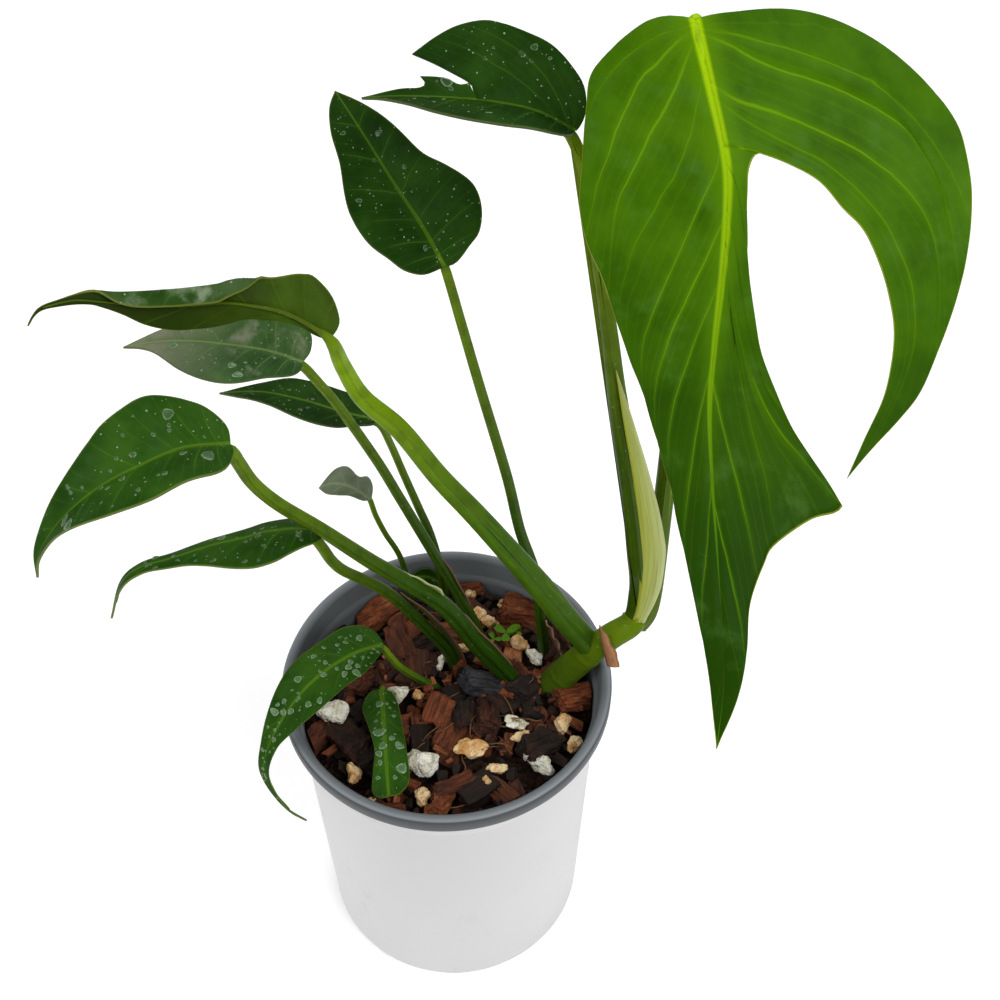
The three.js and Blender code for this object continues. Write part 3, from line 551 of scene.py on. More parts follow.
# One half of a blade, as grids. spots collects points where a drop could lie.
def halfBlade(bm, form, key, layers, spots):
    sign = 1 if key == "near" else -1
    for part in partsOf(form.shape, key):
        flat, numbers, gaps = partPoints(part)
        rows, columns = len(flat) - 1, part["columns"]
        placed = gridOf(bm, rows, columns)
        info, facing = {}, {}
        for (row, column), vert in placed.items():
            s, w = flat[row, column]
            v = column / columns
            k = numbers[row]
            width = np.linalg.norm(flat[row, -1] - flat[row, 0])
            between = math.sin(math.pi * (k % 1)) ** 0.7 * math.sin(math.pi * v) ** 0.6
            swell = quilting * min(1, width / 20) * between
            swell += marginWave * min(1, width / 25) * v ** 3 * math.sin(s / 9 + sign)
            if "first" in part:
                swell *= min(1, row / seamRows)
            elif "last" in part:
                swell *= min(1, (rows - row) / seamRows)
            point, normal, tangent = form.place(key, s, w, swell)
            vert.co = Vector(point) * mm
            gap = max(0.3, float(gaps[row][column]))
            info[vert] = ((s / 100, sign * w / 100), (k, gap / 10), ((1 - v) * width / 100, v))
            facing[vert] = Vector(normal)
            if 0.1 < v < 0.85 and 0.06 < row / rows < 0.94 and width > 8 and s > 6:
                spots.append((Vector(point), Vector(normal), Vector(tangent)))
        faces = list({f for vert in placed.values() for f in vert.link_faces})
        # The grid is turned over where its inner faces look down
        for face in faces:
            face.normal_update()
        inner = [f for f in faces if all(info[vert][2][1] < 0.4 for vert in f.verts)]
        if sum(f.normal.dot(facing[f.verts[0]]) for f in inner) < 0:
            bmesh.ops.reverse_faces(bm, faces=faces)
        for face in faces:
            for loop in face.loops:
                for layer, value in zip(layers, info[loop.vert]):
                    loop[layer].uv = value


def bladePiece(name, shape):
    bm = bmesh.new()
    layers = [bm.loops.layers.uv.new(key) for key in ("flat", "vein", "rim")]
    form = BladeForm(shape)
    spots = []
    halfBlade(bm, form, "near", layers, spots)
    halfBlade(bm, form, "far", layers, spots)
    bmesh.ops.remove_doubles(bm, verts=bm.verts, dist=2e-5)
    bmesh.ops.dissolve_degenerate(bm, edges=bm.edges, dist=1e-6)
    look = leafLooks[shape["look"]]
    piece = newPiece(name + "_blade", bm, [look["upper"], look["under"], look["edge"]], [name])
    shell = piece.modifiers.new("thickness", "SOLIDIFY")
    shell.thickness = bladeThickness * mm
    shell.offset = 0
    shell.use_even_offset = False
    shell.material_offset = 1
    shell.material_offset_rim = 2
    return spots


# Flat drops that lie on a blade's upper side
def dropsPiece(name, drops, spots):
    randomly = random.Random(drops["seed"])
    bm = bmesh.new()
    edge = bm.verts.layers.float.new("edge")
    taken = []
    for _ in range(drops["count"]):
        point, normal, tangent = randomly.choice(spots)
        size = drops["small"] + (drops["large"] - drops["small"]) * randomly.random() ** 2.2
        if any((point - other).length < 0.55 * (size + otherSize) for other, otherSize in taken):
            continue
        taken.append((point, size))
        turn = Matrix.Rotation(randomly.uniform(0, math.pi), 3, normal)
        along = (turn @ tangent).normalized()
        side = normal.cross(along)
        long = size / 2 * randomly.uniform(1, 1.6)
        sphere = bmesh.ops.create_uvsphere(bm, u_segments=12, v_segments=6, radius=1)["verts"]
        for v in sphere:
            x, y, z = v.co
            v[edge] = math.hypot(x, y)
            bump = 1 + 0.12 * math.sin(3 * math.atan2(y, x) + size * 9)
            flat = along * x * long * bump + side * y * size / 2 * bump
            v.co = (point + flat + normal * (bladeThickness / 2 - 0.03 + z * (0.16 + 0.05 * size))) * mm
    bmesh.ops.recalc_face_normals(bm, faces=bm.faces)
    return newPiece(name + "_drops", bm, [dropLooks[drops["look"]]], [name])


# A tube along a line, with its turn and its way along in the UV map "tube". section bends its outline.
def tube(bm, path, radius, facing, section=None, sides=20, step=1.6):
    layer = bm.loops.layers.uv["tube"]
    count = max(6, round(lengths(smoothLine(path, 60))[-1] / step))
    line = smoothLine(path, count + 1)
    side, other = framesOf(line, facing)
    placed = gridOf(bm, count, sides)
    where = {}
    for (row, column), vert in placed.items():
        u = row / count
        angle = 2 * math.pi * column / sides
        r = float(spread(radius, u)) * (section(angle, u) if section else 1)
        r *= 1 if 0 < row < count else 0.55
        point = line[row] + (side[row] * math.cos(angle) + other[row] * math.sin(angle)) * r
        vert.co = Vector(point) * mm
        where[vert] = (column / sides, u)
    writeUvs({f for vert in placed.values() for f in vert.link_faces}, layer, where)


def closeTubes(bm):
    bmesh.ops.remove_doubles(bm, verts=bm.verts, dist=1e-6)
    bmesh.ops.holes_fill(bm, edges=[e for e in bm.edges if e.is_boundary])
    bmesh.ops.recalc_face_normals(bm, faces=bm.faces)


def petiolePiece(name, shape):
    bm = bmesh.new()
    bm.loops.layers.uv.new("tube")
    midrib = smoothLine(shape["midrib"], 12)
    near, far = np.array(shape["near"]["across"]), np.array(shape["far"]["across"])
    normal = np.cross(np.gradient(midrib, axis=0), near / np.linalg.norm(near) - far / np.linalg.norm(far))
    normal /= np.linalg.norm(normal, axis=1)[:, None]
    side = 1 if shape.get("flip") else -1
    rib = shape["rib"]
    thick = np.maximum(0.25, (rib + 0.3) * (1 - np.linspace(0, 1, 12)) ** 0.8)
    extra = max(0, shape["radius"][-1] - rib - 0.3)
    under = midrib + normal * side * (0.34 + thick + extra * np.maximum(0, 1 - np.arange(12) / 2.5))[:, None]
    way = [*shape["petiole"][:-1], *[list(p) for p in under[:-1]]]
    share = lengths(np.array(shape["petiole"], float))[-1] / lengths(np.array(way, float))[-1]
    stops = np.linspace(0, 1, 41)
    radius = []
    for u in stops:
        beyond = max(0, (u - share) / (1 - share))
        narrow = (rib + 0.3) * (1 - beyond) ** 0.8 + extra * max(0, 1 - shape.get("merge", 5) * beyond)
        radius.append(float(spread(shape["radius"], u / share)) if u <= share else max(0.25, narrow))

    # A shallow groove down the front, which ends at the blade
    def grooved(angle, u):
        groove = 0.14 * math.exp(-((angle - 0.7) / 0.45) ** 2) if u < share else 0
        return 1 - groove - 0.05 * math.sin(2 * angle) ** 2

    tube(bm, way, radius, (0.1, -0.7, 0.7), grooved)
    closeTubes(bm)
    look = petioleMaterial(name + "_stalk", petioleTones[shape.get("stalk", "thin")], share)
    return newPiece(name + "_petiole", bm, [look], [name])


# A thin wing along a petiole: the line where it stands, how far it reaches, and the way it leans
def wingPiece(name, wing, look, nodes):
    bm = bmesh.new()
    layer = bm.loops.layers.uv.new("tube")
    rows, columns = 40, 6
    line = smoothLine(wing["line"], rows + 1)
    lean = np.array(wing["lean"], float)
    lean /= np.linalg.norm(lean)
    curl = np.cross(np.gradient(line, axis=0), lean)
    curl /= np.linalg.norm(curl, axis=1)[:, None]
    placed = gridOf(bm, rows, columns)
    where = {}
    for (row, column), vert in placed.items():
        u, v = row / rows, column / columns
        reach = float(spread(wing["reach"], u))
        wave = wing.get("wave", 0.3) * math.sin(u * 19) * v
        point = line[row] + lean * reach * v + curl[row] * (wing.get("curl", 0.5) * reach * v * v + wave)
        vert.co = Vector(point) * mm
        where[vert] = (v, u)
    writeUvs(bm.faces, layer, where)
    bmesh.ops.recalc_face_normals(bm, faces=bm.faces)
    piece = newPiece(name, bm, [look], nodes)
    shell = piece.modifiers.new("thickness", "SOLIDIFY")
    shell.thickness = wing.get("thick", 0.6) * mm
    shell.offset = 0
    return piece


print("helpers ready")


# Materials of the leaves

def tint(color, share):
    return tuple(c * share for c in color)


# How strong each vein is: the same all along one vein, and at least the given share
def perVein(look, number, least):
    whole = look.math("ROUND", number)
    value = look.add("ShaderNodeTexWhiteNoise", {"W": whole}, noise_dimensions="1D").outputs["Value"]
    return look.plus(look.times(value, 1 - least), least)


def leafUpper(name, tones):
    look = Look(name, IOR=1.45, Specular_IOR_Level=tones["gloss"])
    flat = look.uv("flat")
    spots = look.moved(flat, (100, 100, 100))
    vein = look.split(look.uv("vein"))
    rim = look.split(look.uv("rim"))
    along = look.split(flat)
    wander = look.times(look.math("SUBTRACT", look.noise(spots, 0.12, 2), 0.5), 0.12)
    number = look.plus(vein[0], wander)
    gap = look.times(vein[1], 10.0)
    # How far the point is from a side vein in millimetres, and from a fine vein between two of them
    away = look.times(look.math("PINGPONG", number, 0.5), gap)
    slender = look.math("SUBTRACT", 1.25, rim[1])
    thin = look.under(look.math("DIVIDE", away, slender), 0.1, tones["veinWidth"])
    halo = look.under(away, 0.0, tones["veinWidth"] * 4.5)
    fade = look.under(rim[1], 0.45, 1.05)
    fineNumber = look.times(number, tones["fineCount"])
    fineGap = look.math("DIVIDE", gap, tones["fineCount"])
    fineAway = look.times(look.math("PINGPONG", fineNumber, 0.5), fineGap)
    fine = look.times(look.under(fineAway, 0.0, tones["veinWidth"]), perVein(look, fineNumber, 0.1))
    strength = look.times(perVein(look, number, 0.45), look.plus(fade, 0.12, True))
    ribAway = look.math("ABSOLUTE", look.times(along[1], 100.0))
    ribLoss = look.times(along[0], tones["ribWidth"] * tones["ribTaper"])
    ribWide = look.math("SUBTRACT", tones["ribWidth"], ribLoss)
    ribShare = look.math("DIVIDE", ribAway, look.math("MAXIMUM", ribWide, 0.22))
    rib = look.under(ribShare, 0.4, 1.0)
    ribHalo = look.under(ribShare, 0.5, 4.2)
    # Green, from deep to light in soft clouds. Toward the tip a painted tone: painted shade where the blade
    # slopes away from the lamps, and on the sheen look a painted grey sheen
    cloudy = look.noise(spots, 0.045, 4, 0.6)
    base = look.ramp(cloudy, [(0.32, tones["deep"]), (0.5, tones["base"]), (0.68, tones["light"])])
    toTip = look.times(look.over(along[0], tones["tipFrom"], tones["tipTo"]), tones["tipShare"])
    base = look.mix(toTip, base, rgb(*tones["tip"]))
    # Soft lighter patches: painted sheen
    paintedSheenPatch = look.over(look.noise(spots, 0.07, 5, 0.62), 0.52, 0.72)
    base = look.layer(base, paintedSheenPatch, tones["paintedSheenShare"], tones["paintedSheen"])
    base = look.layer(base, look.times(halo, strength), tones["haloShare"], tones["halo"])
    base = look.layer(base, fine, tones["fineShare"], tones["vein"])
    base = look.layer(base, look.times(thin, strength), tones["veinShare"], tones["vein"])
    upward = look.math("SUBTRACT", 1.0, look.times(along[0], tones["ribFade"]), True)
    base = look.layer(base, look.times(ribHalo, upward), tones["ribHaloShare"], tones["halo"])
    ribTone = look.mix(upward, rgb(*tones["ribLow"]), rgb(*tones["rib"]))
    base = look.mix(look.times(rib, tones["ribShare"]), base, ribTone)
    base = look.layer(base, look.under(rim[0], 0.002, 0.006), 0.7, tones["rim"])
    rough = look.plus(look.times(look.noise(spots, 0.25, 4, 0.6), 0.2), tones["rough"] - 0.1)
    height = look.plus(look.times(look.times(thin, strength), -0.5),
                       look.times(fine, -0.12))
    height = look.plus(height, look.times(look.noise(spots, 0.5, 5, 0.6), 0.35))
    # White specks that hard water leaves
    if tones["specks"]:
        for scale, biggest, offset in ((0.75, 0.2, 0.0), (0.32, 0.11, 3.0)):
            cell = look.cells(look.moved(spots, location=(offset, offset, 0)), scale)
            chosen = look.split(cell["Color"])
            size = look.times(look.math("POWER", chosen[0], 2.0), biggest)
            speck = look.times(look.math("LESS_THAN", cell["Distance"], size),
                              look.math("LESS_THAN", chosen[1], tones["specks"]))
            base = look.layer(base, speck, 0.7, (0.3, 0.36, 0.27))
            rough = look.plus(rough, look.times(speck, 0.2), True)
    return look.finish(base, rough, look.bump(height, 0.3, 0.0008))


def leafUnder(name, tones):
    look = Look(name, Roughness=0.5, Specular_IOR_Level=0.06)
    flat = look.uv("flat")
    spots = look.moved(flat, (100, 100, 100))
    vein = look.split(look.uv("vein"))
    rim = look.split(look.uv("rim"))
    along = look.split(flat)
    away = look.times(look.math("PINGPONG", vein[0], 0.5), look.times(vein[1], 10.0))
    thin = look.under(away, 0.1, 0.9)
    stops = [(0.3, tint(tones["under"], 0.72)), (0.7, tint(tones["under"], 1.25))]
    tone = look.ramp(look.noise(spots, 0.09, 4), stops)
    toTip = look.times(look.over(along[0], tones["underTip"][0], tones["underTip"][1]), 0.75)
    tone = look.mix(toTip, tone, rgb(*tint(tones["under"], 0.25)))
    tone = look.layer(tone, thin, 0.35, tones["underVein"])
    tone = look.layer(tone, look.under(rim[0], 0.002, 0.007), 0.6, tones["rim"])
    normal = look.bump(look.plus(thin, look.noise(spots, 1.0, 4)), 0.3, 0.0006)
    return look.finish(tone, None, normal)


def plainEdge(name, color):
    look = Look(name, Roughness=0.45, Specular_IOR_Level=0.2)
    tone = look.mix(look.noise(look.place(), 300, 2), rgb(*tint(color, 0.7)), rgb(*color))
    return look.finish(tone)


# The tone toward each blade's tip is painted shade, where the blade slopes away from the lamps; the sheen look's
# pale tip is painted grey sheen
commonTones = {
    "gloss": 0.02, "rough": 0.42, "veinWidth": 0.5, "fineCount": 3.0, "veinShare": 0.55, "haloShare": 0.35,
    "fineShare": 0.16, "ribWidth": 0.9, "ribTaper": 0.9, "ribShare": 0.75, "ribHaloShare": 0.25, "ribFade": 0.6,
    "tipFrom": 0.3, "tipTo": 0.9, "tipShare": 0.2, "tip": (0.02, 0.045, 0.006), "paintedSheenShare": 0.25,
    # The soft pale patches and their share are painted sheen
    "paintedSheen": (0.045, 0.085, 0.035), "specks": 0.3, "under": (0.045, 0.09, 0.012),
    "underVein": (0.1, 0.16, 0.03), "underTip": (0.3, 0.9),
}
leafTones = {
    # The bright leaf's dark tip is strong painted shade
    "bright": {"deep": (0.026, 0.08, 0.0005), "base": (0.04, 0.118, 0.0008), "light": (0.055, 0.145, 0.0015),
               "halo": (0.08, 0.2, 0.001), "vein": (0.13, 0.28, 0.002), "rib": (0.32, 0.52, 0.002),
               "ribLow": (0.05, 0.15, 0.002), "rim": (0.28, 0.34, 0.03), "veinWidth": 0.75, "ribWidth": 2.3,
               "ribTaper": 0.58, "veinShare": 0.7, "haloShare": 0.42, "fineShare": 0.1, "ribShare": 0.92,
               "ribHaloShare": 0.85, "ribFade": 0.72, "gloss": 0.03, "specks": 0, "tipTo": 1.6,
               "tipShare": 0.9, "tip": (0.009, 0.036, 0.0004), "paintedSheen": (0.06, 0.15, 0.02),
               "paintedSheenShare": 0.4, "under": (0.12, 0.24, 0.02), "underVein": (0.26, 0.42, 0.05),
               "underTip": (0.8, 2.5)},
    "dark": {"deep": (0.006, 0.023, 0.002), "base": (0.01, 0.037, 0.003), "light": (0.017, 0.055, 0.005),
             "halo": (0.02, 0.065, 0.005), "vein": (0.06, 0.14, 0.012), "rib": (0.1, 0.2, 0.012),
             "ribLow": (0.03, 0.09, 0.01), "rim": (0.06, 0.09, 0.02), "specks": 0.8, "veinShare": 0.4,
             "fineShare": 0.08, "ribHaloShare": 0.5, "ribWidth": 1.1, "paintedSheen": (0.025, 0.055, 0.016)},
    "wet": {"deep": (0.01, 0.038, 0.003), "base": (0.018, 0.062, 0.005), "light": (0.03, 0.085, 0.008),
            "halo": (0.03, 0.095, 0.007), "vein": (0.06, 0.14, 0.015), "rib": (0.09, 0.18, 0.012),
            "ribLow": (0.05, 0.13, 0.008), "rim": (0.1, 0.15, 0.02), "specks": 0.5, "paintedSheenShare": 0.35,
            "paintedSheen": (0.035, 0.08, 0.022), "ribHaloShare": 0.6, "ribWidth": 1.3},
    # Its grey tip and its pale patches are strong painted sheen
    "sheen": {"deep": (0.016, 0.05, 0.01), "base": (0.03, 0.076, 0.018), "light": (0.05, 0.11, 0.03),
              "halo": (0.06, 0.12, 0.035), "vein": (0.12, 0.19, 0.07), "rib": (0.2, 0.28, 0.09),
              "ribLow": (0.16, 0.2, 0.09), "rim": (0.07, 0.11, 0.03), "specks": 0.8, "tip": (0.22, 0.22, 0.15),
              "tipFrom": 0.15, "tipTo": 0.7, "tipShare": 0.9, "paintedSheen": (0.2, 0.21, 0.14), "paintedSheenShare": 0.8,
              "ribHaloShare": 0.5},
    "olive": {"deep": (0.012, 0.04, 0.005), "base": (0.022, 0.06, 0.008), "light": (0.05, 0.09, 0.03),
              "halo": (0.05, 0.1, 0.03), "vein": (0.08, 0.15, 0.04), "rib": (0.1, 0.18, 0.03),
              "ribLow": (0.06, 0.12, 0.03), "rim": (0.13, 0.16, 0.02), "specks": 0.4, "paintedSheenShare": 0.7,
              "paintedSheen": (0.24, 0.3, 0.19), "under": (0.032, 0.066, 0.001), "underVein": (0.05, 0.09, 0.003),
              "underTip": (0.05, 0.6)},
    "grey": {"deep": (0.08, 0.1, 0.06), "base": (0.12, 0.145, 0.09), "light": (0.19, 0.22, 0.15),
             "halo": (0.17, 0.2, 0.13), "vein": (0.2, 0.24, 0.15), "rib": (0.2, 0.25, 0.14),
             "ribLow": (0.17, 0.2, 0.12), "rim": (0.2, 0.24, 0.15), "specks": 0.3, "rough": 0.55,
             "under": (0.12, 0.16, 0.09), "underVein": (0.2, 0.26, 0.15)},
}
leafLooks = {}
for key, own in leafTones.items():
    tones = {**commonTones, **own}
    leafLooks[key] = {"upper": leafUpper(key + "_leaf_upper", tones),
                      "under": leafUnder(key + "_leaf_under", tones),
                      "edge": plainEdge(key + "_leaf_edge", tones["rim"])}
# The long left leaf is built with its underside outwards
flipped = leafLooks["olive"]
flipped["upper"], flipped["under"] = flipped["under"], flipped["upper"]


def dropMaterial(name, middle, ring):
    look = Look(name, Roughness=0.2, Specular_IOR_Level=0.3)
    edge = look.add("ShaderNodeAttribute", attribute_name="edge").outputs["Fac"]
    around = look.times(look.over(edge, 0.6, 0.84), look.under(edge, 0.9, 1.02))
    broken = look.over(look.noise(look.place(), 900, 3), 0.3, 0.6)
    tone = look.mix(look.noise(look.place(), 500, 3), rgb(*tint(middle, 0.7)), rgb(*tint(middle, 1.3)))
    return look.finish(look.layer(tone, around, broken, ring))


dropLooks = {"dark": dropMaterial("drop_dark", (0.02, 0.06, 0.012), (0.13, 0.2, 0.11)),
             "wet": dropMaterial("drop_wet", (0.04, 0.095, 0.025), (0.13, 0.2, 0.1)),
             "pale": dropMaterial("drop_pale", (0.07, 0.14, 0.05), (0.2, 0.29, 0.17))}
leafDrops = {
    "leaf_split_small": {"count": 16, "small": 0.9, "large": 3, "seed": 3, "look": "dark"},
    "leaf_tall_middle": {"count": 14, "small": 0.8, "large": 2, "seed": 4, "look": "dark"},
    "leaf_pale_left": {"count": 18, "small": 0.8, "large": 4.5, "seed": 5, "look": "pale"},
    "leaf_narrow_back": {"count": 10, "small": 0.8, "large": 2, "seed": 6, "look": "dark"},
    "leaf_wide_left": {"count": 30, "small": 1, "large": 4.6, "seed": 7, "look": "wet"},
    "leaf_low_left": {"count": 34, "small": 0.8, "large": 2.8, "seed": 8, "look": "wet"},
    "leaf_over_rim": {"count": 80, "small": 0.8, "large": 3.8, "seed": 9, "look": "pale"},
    "leaf_on_mix": {"count": 34, "small": 1, "large": 4.4, "seed": 10, "look": "pale"},
}


# Stalk greens from the foot to the blade. strip is for the one whose pale sheath wraps its right side.
petioleTones = {
    "bright": {"foot": (0.06, 0.1, 0.004), "middle": (0.045, 0.09, 0.002), "top": (0.28, 0.46, 0.003),
               "rib": (0.3, 0.5, 0.003)},
    "sheathed": {"foot": (0.035, 0.075, 0.002), "middle": (0.03, 0.065, 0.002), "top": (0.13, 0.2, 0.004),
                 "strip": True},
    "thick": {"foot": (0.035, 0.08, 0.004), "middle": (0.05, 0.12, 0.004), "top": (0.18, 0.3, 0.003),
              "rib": (0.055, 0.085, 0.004)},
    "thin": {"foot": (0.02, 0.05, 0.004), "middle": (0.035, 0.085, 0.005), "top": (0.12, 0.2, 0.006)},
    "deep": {"foot": (0.01, 0.035, 0.002), "middle": (0.025, 0.07, 0.003), "top": (0.1, 0.17, 0.005)},
}


def petioleMaterial(name, tones, share=1.0):
    look = Look(name, Specular_IOR_Level=0.06)
    around = look.uv("tube")
    turn, way = look.split(around)[0], look.split(around)[1]
    streak = look.noise(look.moved(around, (16, 10, 1)), 1.0, 3)
    mottle = look.noise(look.place(), 160, 4)
    base = look.ramp(way, [(0.0, tones["foot"]), (0.45 * share, tones["middle"]), (0.96 * share, tones["top"]),
                           (min(0.99, 1.06 * share), tones.get("rib", tones["top"]))])
    if tones.get("strip"):
        shifted = look.math("FRACT", look.plus(turn, 0.5))
        height = look.math("SUBTRACT", shifted, look.times(way, 0.46 / (0.6 * share)))
        yellow = look.times(look.over(height, 0.42, 0.45), look.under(shifted, 0.93, 0.97))
        base = look.mix(yellow, base, rgb(0.2, 0.24, 0.004))
        pale = look.times(look.over(height, 0.48, 0.53), look.under(shifted, 0.9, 0.95))
        tone = look.mix(streak, rgb(0.28, 0.31, 0.06), rgb(0.4, 0.42, 0.14))
        base = look.mix(pale, base, tone)
    base = look.layer(base, look.over(streak, 0.5, 0.75), 0.4, tint(tones["top"], 0.8))
    base = look.layer(base, look.over(mottle, 0.45, 0.7), 0.3, tint(tones["foot"], 0.6))
    specks = look.cells(look.place(), 380)
    size = look.times(look.split(specks["Color"])[0], 0.14)
    small = look.math("LESS_THAN", specks["Distance"], size)
    base = look.layer(base, small, 0.4, (0.3, 0.34, 0.2))
    rough = look.plus(look.times(mottle, 0.2), 0.3)
    return look.finish(base, rough, look.bump(streak, 0.25, 0.0006))


for name, shape in leafShapes.items():
    spots = bladePiece(name, shape)
    petiolePiece(name, shape)
    if name in leafDrops:
        dropsPiece(name, leafDrops[name], spots)
print("leaves:", len(leafShapes))


# Wings of the stalks' sheaths, and dry papery strips

wings = {
    "leaf_split_small": [
        {"line": [[57.5, 18.5, 290], [61.5, 16, 268], [66, 13, 245], [69.5, 10.5, 222], [71.5, 8.5, 200],
                  [71.5, 7.2, 184], [70, 6.4, 173]],
         "reach": [0.3, 3.2, 5.4, 7.6, 9.4, 8, 4.5], "lean": (1, -0.1, 0.1), "curl": -0.12, "wave": 0.1,
         "look": "sheath"}],
    "leaf_wide_left": [
        {"line": [[-14, 3.5, 208], [-6, 5.5, 196], [0, 7.5, 187]], "reach": [0.4, 3, 4.6, 0.5],
         "lean": (0.75, 0.1, 0.6), "look": "pale"},
        {"line": [[1, 8, 185], [7, 9.5, 173], [14, 10.5, 159], [21, 11, 145], [27, 11, 132]],
         "reach": [0.8, 1.8, 1.4, 2.2, 2.6, 1.2], "lean": (0.8, 0.2, 0.4), "look": "brown"}],
    "leaf_low_left": [
        {"line": [[-17, 12.5, 185], [-9, 15, 170], [-3, 16.5, 156], [3, 17, 140], [6, 17, 128]],
         "reach": [0.4, 1.6, 2.8, 3, 1.6], "lean": (0.8, 0.25, 0.4), "look": "brown"}],
    "leaf_pale_left": [
        {"line": [[-6, 37, 185], [3, 34, 164], [8, 32, 150], [13, 30, 130]], "reach": [0.2, 1.8, 2, 1.6, 1],
         "lean": (0.8, -0.1, 0.5), "look": "brown"}],
    "leaf_tall_middle": [
        {"line": [[38.5, 20.5, 158], [41, 19.5, 148], [44, 19, 138]], "reach": [0.4, 2.2, 3.4, 2],
         "lean": (0.85, -0.3, 0.3), "look": "dry", "wave": 0.8},
        {"line": [[40, 24, 156], [44, 22, 146], [49, 20, 139]], "reach": [0.5, 2, 2.6, 0.8],
         "lean": (0.7, 0.5, 0.5), "look": "dry", "wave": 0.9}],
}


def wingMaterial(name, near, far, edge):
    look = Look(name, Roughness=0.5, Specular_IOR_Level=0.2)
    across = look.split(look.uv("tube"))[0]
    streak = look.noise(look.moved(look.uv("tube"), (10, 3, 1)), 1.0, 4)
    tone = look.mix(across, rgb(*near), rgb(*far))
    tone = look.layer(tone, look.over(streak, 0.4, 0.7), 0.5, tint(near, 0.6))
    tone = look.layer(tone, look.over(across, 0.75, 0.98), 0.7, edge)
    return look.finish(tone, None, look.bump(streak, 0.5, 0.0008))


wingLooks = {"pale": wingMaterial("wing_pale", (0.1, 0.17, 0.02), (0.3, 0.36, 0.12), (0.4, 0.42, 0.2)),
             "sheath": wingMaterial("wing_sheath", (0.26, 0.29, 0.015), (0.36, 0.4, 0.15), (0.42, 0.46, 0.22)),
             "brown": wingMaterial("wing_brown", (0.05, 0.09, 0.01), (0.1, 0.06, 0.03), (0.22, 0.11, 0.07)),
             "dry": wingMaterial("wing_dry", (0.1, 0.04, 0.025), (0.24, 0.12, 0.08), (0.34, 0.2, 0.13))}
for name, listed in wings.items():
    for number, wing in enumerate(listed):
        wingPiece(f"{name}_wing_{number + 1}", wing, wingLooks[wing["look"]], [name])
print("wings")


# Stem, aerial root, dry sheath and seedling

stemShape = {
    "path": [[28, 12, 112], [36, 10, 120], [47, 8, 141], [57, 5, 160], [63, 5, 168], [70, 8, 171], [72, 10, 174]],
    "radius": [6, 6.4, 6, 5.2, 4.6],
    "rings": [0.42, 0.66],
    "root": [[45, 5, 134], [46, 1, 131], [45, -1, 124]],
    "rootRadius": [1.7, 1.3],
    "sheath": {"line": [[57.5, 1, 180], [58.4, 0, 173], [60, -1.8, 166], [61.4, -3, 160]],
               "reach": [0.4, 3.2, 5, 4.6], "lean": (1, -0.25, -0.25), "curl": -0.35, "wave": 0.5},
}


def shootPiece(name, path, radius, look, nodes, section=None, sides=28):
    bm = bmesh.new()
    bm.loops.layers.uv.new("tube")
    tube(bm, path, radius, (0.1, -0.7, 0.7), section, sides, 0.8)
    closeTubes(bm)
    return newPiece(name, bm, [look], nodes)


def ringed(angle, u):
    swell = sum(math.exp(-((u - ring) / 0.012) ** 2) for ring in stemShape["rings"])
    return 1 + 0.05 * swell + 0.03 * math.sin(2 * angle + 5 * u) - 0.02 * math.sin(5 * angle)


stemTones = {"foot": (0.03, 0.065, 0.006), "middle": (0.06, 0.11, 0.005), "top": (0.09, 0.15, 0.001)}
rootTones = {"foot": (0.05, 0.05, 0.01), "middle": (0.13, 0.08, 0.03), "top": (0.05, 0.025, 0.012)}
stemLook = petioleMaterial("stem_green", stemTones)
shootPiece("stem_skin", stemShape["path"], stemShape["radius"], stemLook, ["stem"], ringed)
rootLook = petioleMaterial("root_brown", rootTones)
shootPiece("aerial_root_skin", stemShape["root"], stemShape["rootRadius"], rootLook,
           ["aerial_root"], sides=14)
drySheathLook = wingMaterial("sheath_dry", (0.14, 0.05, 0.02), (0.42, 0.2, 0.08), (0.12, 0.045, 0.02))
wingPiece("dry_sheath_skin", stemShape["sheath"], drySheathLook, ["dry_sheath"])

seedling = {"path": [[23, 31, 118], [23, 31, 131], [23, 30, 137]], "radius": [0.9, 0.8], "leaflets": 3,
            "leaves": [[23, 30, 137.2, 5.6, 0.5], [18, 28, 135.6, 3.6, 2.0], [27, 31.5, 136.4, 3.6, 1.2]]}
seedlingLook = petioleMaterial("seedling_green", {"foot": (0.07, 0.17, 0.005), "middle": (0.13, 0.3, 0.005),
                                                  "top": (0.15, 0.34, 0.006)})


# A clover seedling: flat round leaflets in threes, notched at their ends
def seedlingPiece():
    bm = bmesh.new()
    bm.loops.layers.uv.new("tube")
    tube(bm, seedling["path"], seedling["radius"], (0, -1, 0), None, 10, 1)
    for x, y, z, *_ in seedling["leaves"][1:]:
        branch = [[23, 30.6, 133], [(23 + x) / 2, (30 + y) / 2, z - 1.4], [x, y, z - 0.3]]
        tube(bm, branch, [0.5, 0.4], (0, -1, 0), None, 8, 1)
    closeTubes(bm)
    for x, y, z, reach, start in seedling["leaves"]:
        for i in range(seedling["leaflets"]):
            turn = start + i * 2 * math.pi / seedling["leaflets"]
            ball = bmesh.ops.create_uvsphere(bm, u_segments=20, v_segments=8, radius=1)["verts"]
            for v in ball:
                along, side, up = v.co
                notch = 0.28 * math.exp(-(side / 0.3) ** 2) * max(0, along)
                out = (along * (1 - notch) + 1.02) * reach / 2
                wide = side * reach * 0.42 * (0.75 + 0.25 * along)
                v.co = Vector((x + out * math.cos(turn) - wide * math.sin(turn),
                               y + out * math.sin(turn) + wide * math.cos(turn),
                               z + up * 0.3 + 0.04 * out * out + 0.12 * abs(wide))) * mm
    bmesh.ops.recalc_face_normals(bm, faces=bm.faces)
    return newPiece("clover_seedling_plant", bm, [seedlingLook], ["clover_seedling"])


seedlingPiece()
print("stem, root, sheath and seedling")


# Pot

